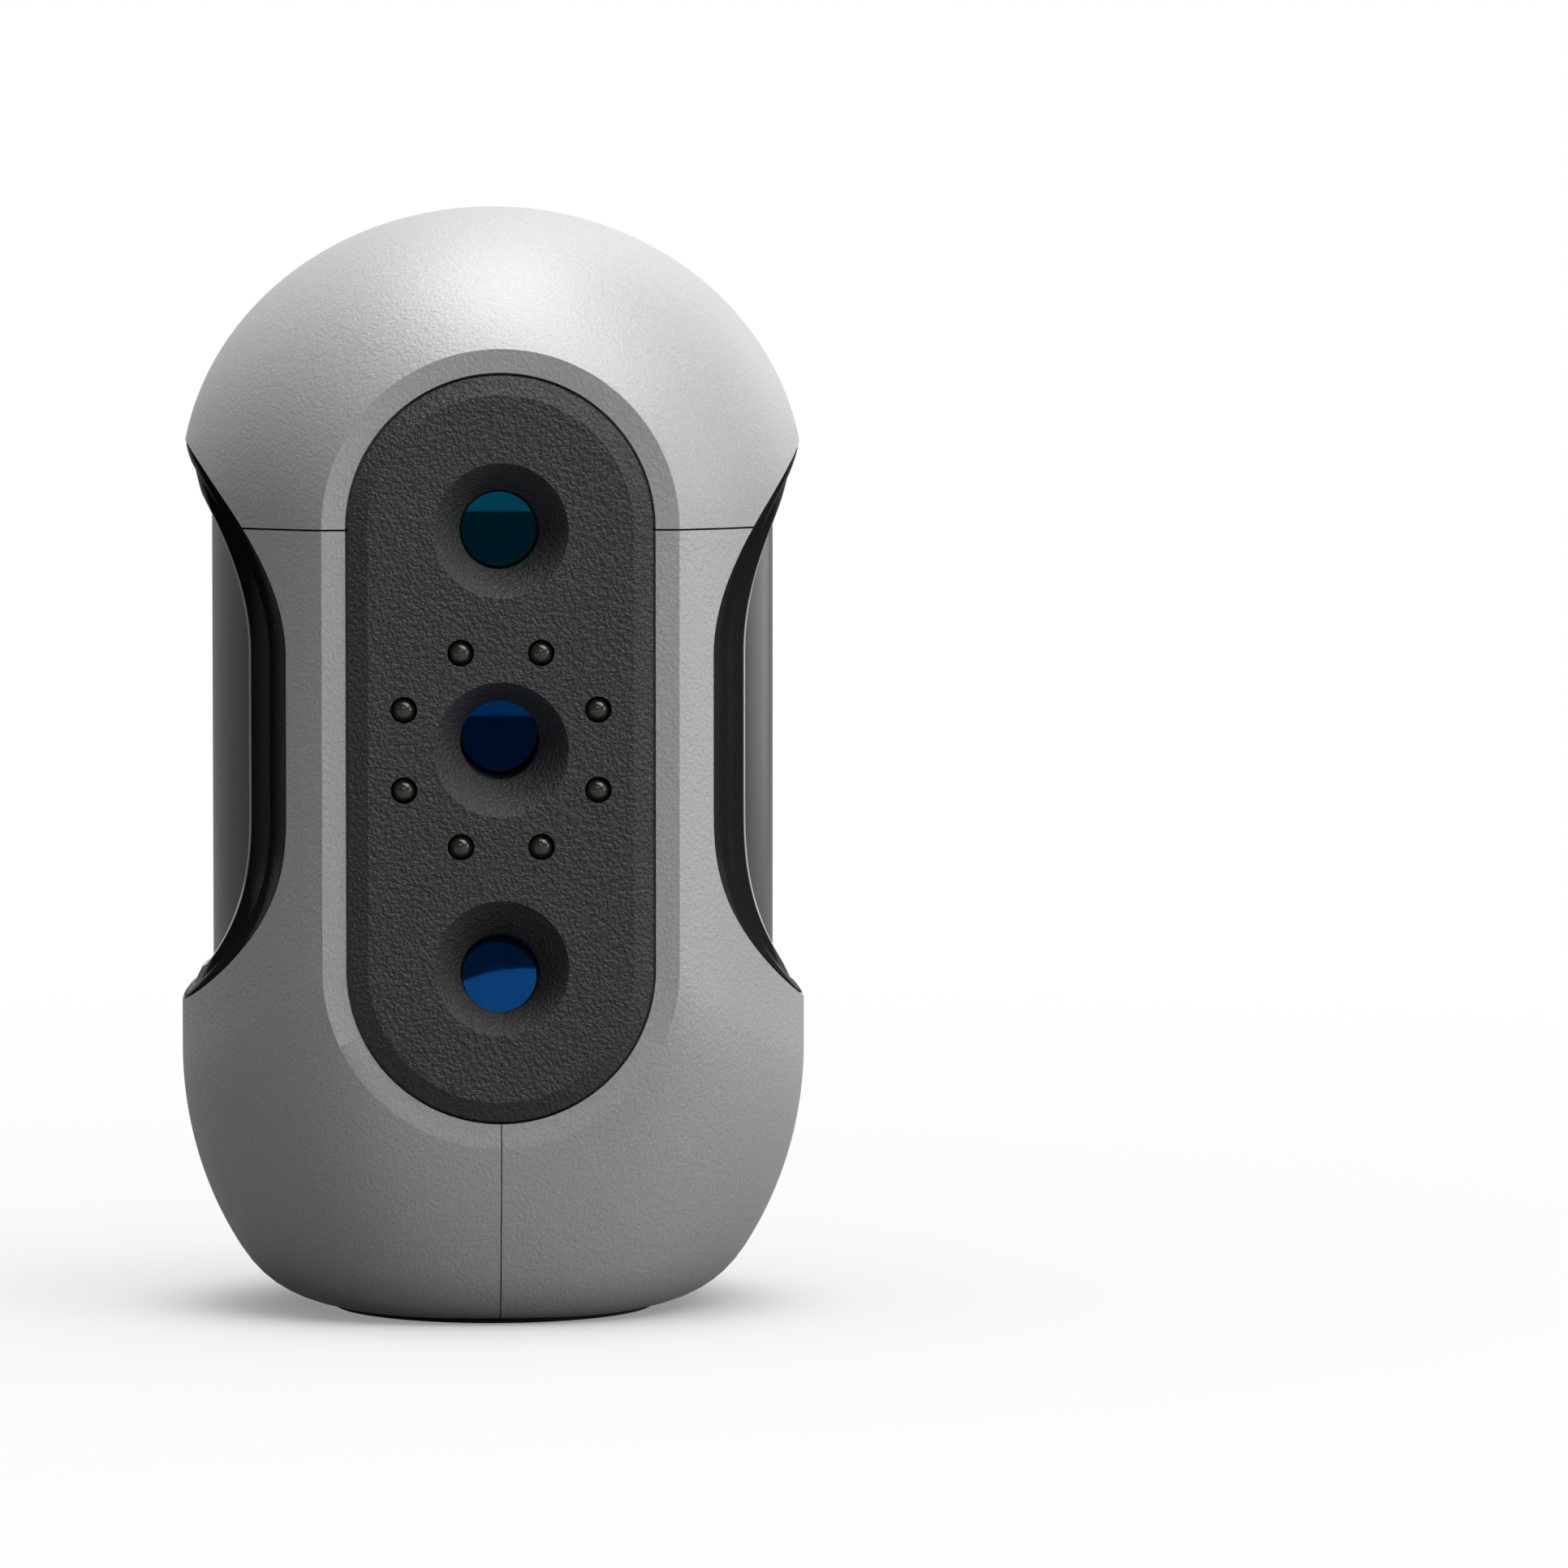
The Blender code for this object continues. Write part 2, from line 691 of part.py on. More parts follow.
def loop_arc(reach, top, low, steps):
    """The front of a grip loop in the side view, from above down to below."""
    points = []
    for turn in quarter(steps):
        rise = math.cos(turn) * (top - GRIP_UPPER_TURN)
        points.append((-reach * math.sin(turn), GRIP_UPPER_TURN + rise))
    for step in range(1, SIDE_STEPS):
        share = step / SIDE_STEPS
        points.append((-reach, blend(GRIP_UPPER_TURN, GRIP_LOWER_TURN, share)))
    for turn in quarter(steps):
        drop = math.sin(turn) ** (2.0 / GRIP_LOWER_FULLNESS_SHARE)
        drop *= GRIP_LOWER_TURN - low
        points.append((-reach * math.cos(turn), GRIP_LOWER_TURN - drop))
    return points


def side_prism(reach, top, low):
    """A prism across the whole casing with a grip loop as its side view."""
    arc = loop_arc(reach, top, low, LINER_STEPS * 2)
    back = BACK_DEPTH + OVERRUN
    outline = [*arc, (back, low), (back, top)]
    wide = 2 * (HALF_WIDTH + OVERRUN)
    prism = add_cutter("side_prism", plate_mesh("side_prism", outline, wide))
    prism.rotation_euler = (math.pi / 2, 0.0, math.pi / 2)
    return prism


def grip_void():
    """What the casing leaves open round the grip, beside and behind its front spine."""
    void = side_prism(EDGE_REACH + GAP, EDGE_TOP + GAP, EDGE_LOW - GAP)
    spine = box_cutter(
        (-SPINE_HALF_WIDTH, -FRONT_DEPTH - OVERRUN, 0.0),
        (SPINE_HALF_WIDTH, -SPINE_BACK, HEIGHT),
    )
    return cut(void, spine)


def trim_profile():
    """Share of the way from the edge loop to the column loop, and depth, round a trim."""
    under = COLUMN_DEPTH - GAP
    bead_end = blend(TRIM_BEAD_DEPTH, under, TRIM_BEAD_FALL_SHARE)
    liner_middle = midway(TRIM_LINER_EDGE_DEPTH, under)
    return [
        (0.0, TRIM_EDGE_DEPTH),
        (TRIM_STEP_SHARE / 2, blend(TRIM_EDGE_DEPTH, TRIM_STEP_DEPTH, TRIM_CROWN_SHARE)),
        (TRIM_STEP_SHARE, TRIM_STEP_DEPTH),
        (TRIM_STEP_END_SHARE, TRIM_STEP_DEPTH + TRIM_STEP_DROP),
        (TRIM_BEAD_SHARE, TRIM_BEAD_DEPTH),
        (1.0, bead_end),
        (1.0, under),
        (TRIM_LINER_SHARE, under),
        (TRIM_LINER_SHARE / 2, liner_middle),
        (0.0, TRIM_LINER_EDGE_DEPTH),
    ]


def trim_section(kind, place, side):
    """A trim's profile at one station of its path from rear top round to rear bottom."""
    points = []
    for share, depth in trim_profile():
        reach = blend(EDGE_REACH, COLUMN_REACH, share)
        top = blend(EDGE_TOP, COLUMN_TOP, share)
        low = blend(EDGE_LOW, COLUMN_LOW, share)
        if kind == "front":
            y, z = loop_arc(reach, top, low, TRIM_STEPS)[place]
            x = side_reach(y, z, depth)
        else:
            z = top if kind.startswith("top") else low
            y = (BACK_DEPTH - depth) * min(1.0, place)
            x = side_reach(y, z, depth)
            if kind.endswith("face"):
                x = blend(x, GAP / 2, place - 1.0)
        points.append((side * x, y, z))
    return points


def grip_trim(name, side, material):
    """One half of the black trim, from the rear middle round the waist and back."""
    front_count = len(loop_arc(EDGE_REACH, EDGE_TOP, EDGE_LOW, TRIM_STEPS))
    wrap = quarter_shares(TRIM_WRAP_STEPS)[1:]
    path = [("top_face", 2.0)]
    path += [("top", share) for share in reversed(wrap)]
    path += [("front", place) for place in range(front_count)]
    path += [("low", share) for share in wrap]
    path += [("low_face", 2.0)]
    sections = [trim_section(kind, place, side) for kind, place in path]
    return smooth(add_piece(name, loft_mesh(name, sections), material))


def body_solid(depth, steps):
    """The full loft, depth under the casing's surface, as a helper solid."""
    sections = [
        body_section(y, depth, CASING_FLOOR) for y in body_stations(depth, steps, True)
    ]
    return add_cutter("body_solid", loft_mesh("body_solid", sections))


# Outer pieces


def rounded_outline(half_width, top, low, corner):
    """A rectangle in the front view with round corners."""
    points = []
    centres = [
        (half_width - corner, top - corner),
        (-half_width + corner, top - corner),
        (-half_width + corner, low + corner),
        (half_width - corner, low + corner),
    ]
    for corner_number, (x, z) in enumerate(centres):
        for step in range(CORNER_STEPS + 1):
            turn = math.pi / 2 * (corner_number + step / CORNER_STEPS)
            points.append((x + corner * math.cos(turn), z + corner * math.sin(turn)))
    return points


def front_plate(name, outline, front, thickness, material):
    """A plate that stands in the front view, from front to front plus thickness."""
    plate = add_piece(name, plate_mesh(name, outline, thickness), material)
    plate.rotation_euler = (math.pi / 2, 0.0, 0.0)
    plate.location = (0.0, front + thickness / 2, 0.0)
    return plate


def foot_outline(margin=0.0):
    """The oval of the foot in the plan view."""
    points = []
    for step in range(2 * TURN_STEPS):
        turn = math.pi * step / TURN_STEPS
        reach = FOOT_BACK if math.sin(turn) > 0.0 else FOOT_FRONT
        across = (FOOT_HALF_WIDTH + margin) * math.cos(turn)
        points.append((across, (reach + margin) * math.sin(turn)))
    return points


def base_screw_places():
    sides = ((-1, -1), (1, -1), (1, 1), (-1, 1))
    return [(a * BASE_SCREW_ACROSS, b * BASE_SCREW_ALONG) for a, b in sides]


def cover_region(name):
    """The box of space that a cover takes from the shell."""
    wide = HALF_WIDTH + OVERRUN
    deep = BACK_DEPTH + OVERRUN
    seam = SEAM_HEIGHT - GAP / 2
    corners = {
        "top_cover": ((-wide, -deep, SEAM_HEIGHT + GAP / 2), (wide, deep, HEIGHT + OVERRUN)),
        "left_cover": ((-wide, -deep, 0.0), (-GAP / 2, deep, seam)),
        "right_cover": ((GAP / 2, -deep, 0.0), (wide, deep, seam)),
    }
    return box_cutter(*corners[name])


def add_socket_seat(cover, name):
    """Thickens the rear wall for the cable socket, then cuts its well and hole."""
    socket = (0.0, 0.0, SOCKET_HEIGHT)
    boss_radius = SOCKET_WELL_RADIUS + SOCKET_BOSS_MARGIN
    boss = rod_cutter(boss_radius, SOCKET_BACK_WALL, BACK_DEPTH + OVERRUN, socket)
    keep_inside(boss, cover_region(name))
    join(cover, keep_inside(boss, body_solid(WALL / 2, LINER_STEPS)))
    cut(cover, rod_cutter(SOCKET_WELL_RADIUS, SOCKET_FACE, BACK_DEPTH + OVERRUN, socket))
    hole_radius = SOCKET_RADIUS + GAP
    cut(cover, rod_cutter(hole_radius, SOCKET_BACK_WALL - OVERRUN, BACK_DEPTH, socket))


def cut_base(cover, side):
    """Seat of the foot, hole of the tripod boss and the counterbored screw holes."""
    centre = (0.0, 0.0, 0.0)
    seat = plate_mesh("foot_seat", foot_outline(GAP), 2 * FOOT_SEAT)
    cut(cover, add_cutter("foot_seat", seat))
    cut(cover, rod_cutter(TRIPOD_BOSS_RADIUS + GAP, 0.0, 2 * CASING_FLOOR, centre, 0.0))
    counterbore = FOOT_SEAT + SCREW_HEAD_HEIGHT + GAP
    for x, y in base_screw_places():
        if x * side < 0.0:
            continue
        place = (x, y, 0.0)
        head = SCREW_HEAD_RADIUS + GAP
        shank = SCREW_RADIUS + GAP
        cut(cover, rod_cutter(head, 0.0, counterbore, place, 0.0, SMALL_STEPS))
        cut(cover, rod_cutter(shank, 0.0, 2 * CASING_FLOOR, place, 0.0, SMALL_STEPS))


def make_covers(silver):
    """Top cover and the two lower halves, cut from one shell."""
    shell = casing_shell()
    for name in ("top_cover", "left_cover", "right_cover"):
        cover = add_piece(name, shell.data.copy(), silver)
        keep_inside(cover, cover_region(name))
        cut(cover, grip_void())
        if name != "top_cover":
            add_socket_seat(cover, name)
            cut_base(cover, -1 if name == "left_cover" else 1)
        smooth(cover)
    bpy.data.objects.remove(shell)


def make_column(material):
    """The grip column between the trims, with its rear button and light holes."""
    mesh = body_solid(COLUMN_DEPTH, COLUMN_STEPS)
    column = add_piece("rear_grip_cover", mesh.data.copy(), material)
    bpy.data.objects.remove(mesh)
    cut(column, body_solid(COLUMN_DEPTH + COLUMN_WALL, LINER_STEPS))
    tuck = side_prism(COLUMN_TUCK_REACH, EDGE_TOP - COLUMN_TUCK, EDGE_LOW + COLUMN_TUCK)
    keep_inside(column, tuck)
    start = COLUMN_BACK_WALL - OVERRUN
    for x in (-BUTTON_POST_ACROSS, BUTTON_POST_ACROSS):
        place = (x, 0.0, BUTTON_HEIGHT - BUTTON_POST_BELOW)
        post_start = BUTTON_BOARD_FACE + GAP
        post_end = midway(COLUMN_BACK_WALL, COLUMN_FACE)
        join(column, rod_cutter(POST_RADIUS, post_start, post_end, place, steps=SMALL_STEPS))
        pilot_end = post_start + PILOT_DEPTH
        cut(
            column,
            rod_cutter(PILOT_RADIUS, post_start - GAP, pilot_end, place, steps=SMALL_STEPS),
        )
    end = BACK_DEPTH + OVERRUN
    cut(column, rod_cutter(BUTTON_RADIUS + GAP, start, end, (0.0, 0.0, BUTTON_HEIGHT)))
    light = (0.0, 0.0, BUTTON_HEIGHT + LIGHT_ABOVE)
    cut(column, rod_cutter(LIGHT_RADIUS + GAP, start, end, light, steps=SMALL_STEPS))
    smooth(column)


def recess_section(radius, y, z, tilt, phase=0.0):
    """A circle of an oblique lens recess, whose centre follows the module's axis."""
    centre = z + (y - PANEL_FACE) * math.tan(tilt)
    turns = [2 * math.pi * (step + phase) / TURN_STEPS for step in range(TURN_STEPS)]
    return [(radius * math.cos(turn), y, centre + radius * math.sin(turn)) for turn in turns]


def lens_cup(z, tilt):
    """The outside of a recess's wall, behind the panel."""
    slope = (RECESS_RADIUS - BORE_RADIUS) / RECESS_DEPTH
    start = blend(PANEL_FACE, PANEL_BACK, ROOT_SHARE)
    wide = RECESS_RADIUS - slope * (start - PANEL_FACE) + CUP_WALL
    sections = [
        recess_section(wide, start, z, tilt),
        recess_section(BORE_RADIUS + CUP_WALL, CUP_BACK, z, tilt),
    ]
    return add_cutter("lens_cup", loft_mesh("lens_cup", sections))


def lens_hollow(z, tilt):
    """The cone and bore of a recess."""
    slope = (RECESS_RADIUS - BORE_RADIUS) / RECESS_DEPTH
    ahead = GAP
    phase = 0.5
    sections = [
        recess_section(RECESS_RADIUS + slope * ahead, PANEL_FACE - ahead, z, tilt, phase),
        recess_section(BORE_RADIUS, BORE_FACE, z, tilt, phase),
        recess_section(BORE_RADIUS, CUP_BACK + OVERRUN, z, tilt, phase),
    ]
    return add_cutter("lens_hollow", loft_mesh("lens_hollow", sections))


def lamp_places():
    """Places of the lamps, evenly round the middle lens."""
    turns = [2 * math.pi * (k + 0.5) / LAMP_COUNT for k in range(LAMP_COUNT)]
    radius = LAMP_CIRCLE_RADIUS
    return [
        (radius * math.cos(turn), MIDDLE_LENS_HEIGHT + radius * math.sin(turn))
        for turn in turns
    ]


def post_places():
    heights = (MIDDLE_LENS_HEIGHT + POST_FROM_LAMPS, MIDDLE_LENS_HEIGHT - POST_FROM_LAMPS)
    return [(x, z) for z in heights for x in (-POST_ACROSS, POST_ACROSS)]


def make_front_panel(material):
    """The chamfered panel with its lens recesses, lamp holes and rear posts."""
    rim_front = PANEL_BACK - PANEL_RIM
    sections = [
        flat_section(PANEL, PANEL_BACK),
        flat_section(PANEL, rim_front),
        flat_section(inset(PANEL, PANEL_CHAMFER), PANEL_FACE),
    ]
    panel = add_piece("front_panel", loft_mesh("front_panel", sections), material)
    for z, tilt in LENSES.values():
        join(panel, lens_cup(z, tilt))
    for x, z in post_places():
        start = blend(PANEL_FACE, PANEL_BACK, ROOT_SHARE)
        end = BENCH_FACE - GAP
        join(panel, rod_cutter(POST_RADIUS, start, end, (x, 0.0, z), steps=SMALL_STEPS))
        pilot = rod_cutter(PILOT_RADIUS, end - PILOT_DEPTH, end + GAP, (x, 0.0, z), steps=SMALL_STEPS)
        cut(panel, pilot)
    for z, tilt in LENSES.values():
        cut(panel, lens_hollow(z, tilt))
    for x, z in lamp_places():
        hole = rod_cutter(
            LAMP_HOLE_RADIUS,
            PANEL_FACE - OVERRUN,
            PANEL_BACK + OVERRUN,
            (x, 0.0, z),
            steps=SMALL_STEPS,
        )
        cut(panel, hole)
    smooth(panel)


def make_gasket(material):
    outer = flat_section(inset(PANEL, GAP), 0.0)
    front = SEAT_FRONT - GAP - GASKET_THICKNESS
    outline = [(x, z) for x, _, z in outer]
    gasket = front_plate("panel_gasket", outline, front, GASKET_THICKNESS, material)
    seat = inset(inset(PANEL, -GAP), SEAT_WIDTH)
    sections = [
        flat_section(seat, front - OVERRUN),
        flat_section(seat, front + GASKET_THICKNESS + OVERRUN),
    ]
    cut(gasket, add_cutter("gasket_opening", loft_mesh("gasket_opening", sections)))


# Lens modules


def make_lens_module(name, z, tilt, materials):
    """Window, barrel, inner lens and board of one module, all on its tilted axis."""
    place = (0.0, PANEL_FACE, z)
    lean = UPRIGHT_TO_BACK + tilt
    front = RECESS_DEPTH - OVERRUN / 4
    window_front = RECESS_DEPTH + WINDOW_SETBACK
    window_back = window_front + WINDOW_THICKNESS
    shoulder = window_back + GAP
    back = CUP_BACK - PANEL_FACE + BARREL_LENGTH
    rear_bore = BORE_RADIUS - BARREL_SHOULDER
    tube = [
        (BARREL_RADIUS, back),
        (BARREL_RADIUS, front),
        (BORE_RADIUS, front),
        (BORE_RADIUS, shoulder),
        (rear_bore, shoulder),
        (rear_bore, back),
    ]
    barrel = turned_piece(f"{name}_barrel", tube, materials["black"], place, lean)
    flange_low = (-FLANGE_WIDTH / 2, -FLANGE_WIDTH / 2, back - FLANGE_THICKNESS)
    flange_high = (FLANGE_WIDTH / 2, FLANGE_WIDTH / 2, back)
    flange = box_cutter(flange_low, flange_high)
    flange.location = place
    flange.rotation_euler = (lean, 0.0, 0.0)
    join(barrel, flange)
    cut(barrel, rod_cutter(rear_bore, shoulder, back + OVERRUN, place, lean))
    wide = 2 * BARREL_RADIUS
    clear_front = (wide, CUP_BACK + GAP, HEIGHT)
    smooth(cut(barrel, box_cutter((-wide, PANEL_FACE - wide, 0.0), clear_front)))

    glass_radius = BORE_RADIUS - GAP
    crown = [
        (glass_radius * math.sin(turn), window_front - WINDOW_CROWN * math.cos(turn) ** 2)
        for turn in quarter(CROWN_STEPS)
    ]
    outline = [(0.0, window_back), (glass_radius, window_back), *reversed(crown)]
    turned_piece(f"{name}_lens", outline, materials["glass"], place, lean)

    inner_front = window_back + INNER_LENS_SETBACK
    inner_back = inner_front + INNER_LENS_THICKNESS
    inner_radius = rear_bore - GAP
    inner_outline = [
        (0.0, inner_back),
        (inner_radius, inner_back),
        (inner_radius, inner_front),
        (inner_radius / 2, inner_front - WINDOW_CROWN),
        (0.0, inner_front - WINDOW_CROWN),
    ]
    inner = f"{name}_inner_lens"
    turned_piece(inner, inner_outline, materials["glass"], place, lean, SMALL_STEPS)

    half = SENSOR_BOARD_WIDTH / 2
    board_front = back + GAP
    board_back = board_front + SENSOR_BOARD_THICKNESS
    kind = "projector_board" if name == "lower" else "sensor_board"
    board_mesh = box_mesh("board", (-half, -half, board_front), (half, half, board_back))
    board = add_piece(f"{name}_{kind}", board_mesh, materials["board"])
    board.location = place
    board.rotation_euler = (lean, 0.0, 0.0)
    chip_half = SENSOR_CHIP_WIDTH / 2
    chip_front = board_back - SENSOR_BOARD_THICKNESS / 2
    chip_back = board_back + SENSOR_CHIP_THICKNESS
    chip = box_cutter((-chip_half, -chip_half, chip_front), (chip_half, chip_half, chip_back))
    chip.location = place
    chip.rotation_euler = (lean, 0.0, 0.0)
    join(board, chip)


def make_lamps(materials):
    """Eight domed lamps, which share one turned mesh, and their ring board."""
    seat = LAMP_BOARD_FRONT - GAP
    flange_front = seat - LAMP_FLANGE_THICKNESS
    dome_base = PANEL_FACE - LAMP_PROUD + LAMP_RADIUS
    dome = [
        (LAMP_RADIUS * math.cos(turn), dome_base - LAMP_RADIUS * math.sin(turn))
        for turn in quarter(DOME_STEPS)
    ]
    profile = [
        (0.0, seat),
        (LAMP_FLANGE_RADIUS, seat),
        (LAMP_FLANGE_RADIUS, flange_front),
        (LAMP_RADIUS, flange_front),
        *dome[:-1],
        (0.0, PANEL_FACE - LAMP_PROUD),
    ]
    first = None
    for number, (x, z) in enumerate(lamp_places(), start=1):
        if first is None:
            place = (x, 0.0, z)
            clear = materials["clear"]
            first = turned_piece("led_1", profile, clear, place, steps=SMALL_STEPS)
            continue
        lamp = bpy.data.objects.new(f"led_{number}", first.data)
        PARTS.objects.link(lamp)
        lamp.location = (x, 0.0, z)
        lamp.rotation_euler = first.rotation_euler
    slope = (RECESS_RADIUS - BORE_RADIUS) / RECESS_DEPTH
    reach = LAMP_BOARD_FRONT - PANEL_FACE
    cup_radius = RECESS_RADIUS - slope * reach + CUP_WALL
    inner = cup_radius + (reach + LAMP_BOARD_THICKNESS) * math.tan(TOE_IN) + GAP
    board_back = LAMP_BOARD_FRONT + LAMP_BOARD_THICKNESS
    ring = [
        (LAMP_BOARD_RADIUS, board_back),
        (LAMP_BOARD_RADIUS, LAMP_BOARD_FRONT),
        (inner, LAMP_BOARD_FRONT),
        (inner, board_back),
    ]
    place = (0.0, 0.0, MIDDLE_LENS_HEIGHT)
    turned_piece("led_board", ring, materials["board"], place)


# Bench, boards and screws


def screw_mesh(name, length, steps=SMALL_STEPS):
    """A slotted screw along local Z, its head's underside at zero and its tip above."""
    head = add_cutter(name, rod_mesh(name, SCREW_HEAD_RADIUS, -SCREW_HEAD_HEIGHT, 0.0, steps))
    join(head, rod_cutter(SCREW_RADIUS, -SCREW_HEAD_HEIGHT / 2, length, (0, 0, 0), 0.0, steps))
    slot_low = (-2 * SCREW_HEAD_RADIUS, -SCREW_SLOT_WIDTH / 2, -SCREW_HEAD_HEIGHT - GAP)
    slot_end = -SCREW_HEAD_HEIGHT + SCREW_SLOT_DEPTH
    cut(head, box_cutter(slot_low, (2 * SCREW_HEAD_RADIUS, SCREW_SLOT_WIDTH / 2, slot_end)))
    mesh = head.data
    bpy.data.objects.remove(head)
    return mesh


def place_screws(name, mesh, places, tilt, material):
    """Screws that share one mesh, with their heads on the side that they go in from."""
    mesh.materials.clear()
    mesh.materials.append(material)
    for number, place in enumerate(places, start=1):
        screw = bpy.data.objects.new(f"{name}_{number}", mesh)
        PARTS.objects.link(screw)
        screw.location = place
        screw.rotation_euler = (tilt, 0.0, 0.0)


def standoff_places():
    x = BENCH_HALF_WIDTH - STANDOFF_INSET
    heights = (BENCH_TOP - STANDOFF_INSET, BENCH_LOW + STANDOFF_INSET)
    return [(side * x, z) for z in heights for side in (-1, 1)]


def make_bench(materials):
    """The plate that holds the three barrels at their angles."""
    outline = rounded_outline(BENCH_HALF_WIDTH, BENCH_TOP, BENCH_LOW, BENCH_CORNER)
    bench = front_plate(
        "optical_bench", outline, BENCH_FACE, BENCH_THICKNESS, materials["alloy"]
    )
    for z, tilt in LENSES.values():
        place = (0.0, PANEL_FACE, z)
        lean = UPRIGHT_TO_BACK + tilt
        reach = BENCH_BACK - PANEL_FACE + OVERRUN
        cut(bench, rod_cutter(BARREL_RADIUS + GAP, 0.0, reach, place, lean))
    screw_hole = SCREW_RADIUS + GAP
    for x, z in post_places():
        start = BENCH_FACE - OVERRUN
        end = BENCH_BACK + OVERRUN
        cut(bench, rod_cutter(screw_hole, start, end, (x, 0.0, z), steps=SMALL_STEPS))
    for x, z in standoff_places():
        start = midway(BENCH_FACE, BENCH_BACK)
        end = BOARD_FRONT - GAP
        join(bench, rod_cutter(STANDOFF_RADIUS, start, end, (x, 0.0, z), steps=SMALL_STEPS))
        pilot = rod_cutter(PILOT_RADIUS, end - PILOT_DEPTH, end + GAP, (x, 0.0, z), steps=SMALL_STEPS)
        cut(bench, pilot)
    smooth(bench)
    screw = screw_mesh("bench_screw", BENCH_SCREW_LENGTH)
    seats = [(x, BENCH_BACK + GAP, z) for x, z in post_places()]
    place_screws("bench_screw", screw, seats, -UPRIGHT_TO_BACK, materials["steel"])


def make_main_board(materials):
    """Main board on the bench's standoffs, with its processor and heat sink."""
    outline = rounded_outline(BENCH_HALF_WIDTH, BENCH_TOP, BENCH_LOW, BENCH_CORNER)
    board = front_plate(
        "main_board", outline, BOARD_FRONT, BOARD_THICKNESS, materials["board"]
    )
    middle = midway(BOARD_FRONT, BOARD_BACK)
    half = FLEX_SOCKET_WIDTH / 2
    low_edge = BENCH_LOW + FLEX_SOCKET_FROM_EDGE
    high_edge = BENCH_TOP - FLEX_SOCKET_FROM_EDGE - FLEX_SOCKET_HEIGHT
    for z in (low_edge, high_edge):
        back = BOARD_BACK + FLEX_SOCKET_THICKNESS
        join(board, box_cutter((-half, middle, z), (half, back, z + FLEX_SOCKET_HEIGHT)))
    screw_hole = SCREW_RADIUS + GAP
    for x, z in standoff_places():
        start = BOARD_FRONT - OVERRUN
        end = BOARD_BACK + OVERRUN
        cut(board, rod_cutter(screw_hole, start, end, (x, 0.0, z), steps=SMALL_STEPS))
    screw = screw_mesh("board_screw", BOARD_SCREW_LENGTH)
    seats = [(x, BOARD_BACK + GAP, z) for x, z in standoff_places()]
    place_screws("board_screw", screw, seats, -UPRIGHT_TO_BACK, materials["steel"])

    chip_front = BOARD_BACK + GAP
    chip_back = chip_front + CHIP_THICKNESS
    half = CHIP_WIDTH / 2
    low = (-half, chip_front, MIDDLE_LENS_HEIGHT - half)
    high = (half, chip_back, MIDDLE_LENS_HEIGHT + half)
    add_piece("processor", box_mesh("processor", low, high), materials["chip"])

    sink_front = chip_back + GAP
    base_back = sink_front + SINK_BASE
    fin_back = BUTTON_SCREW_FRONT - SINK_CLEARANCE
    low_z = MIDDLE_LENS_HEIGHT - SINK_HALF_HEIGHT
    high_z = MIDDLE_LENS_HEIGHT + SINK_HALF_HEIGHT
    low = (-SINK_HALF_WIDTH, sink_front, low_z)
    sink_mesh = box_mesh("heat_sink", low, (SINK_HALF_WIDTH, fin_back, high_z))
    sink = add_piece("heat_sink", sink_mesh, materials["alloy"])
    pitch = (2 * SINK_HALF_WIDTH - SINK_FIN_THICKNESS) / (SINK_FIN_COUNT - 1)
    for k in range(SINK_FIN_COUNT - 1):
        left = -SINK_HALF_WIDTH + SINK_FIN_THICKNESS + k * pitch
        right = -SINK_HALF_WIDTH + (k + 1) * pitch
        slot_low = (left, base_back, low_z - OVERRUN)
        slot_high = (right, fin_back + OVERRUN, high_z + OVERRUN)
        cut(sink, box_cutter(slot_low, slot_high))


# Rear button, status light and socket


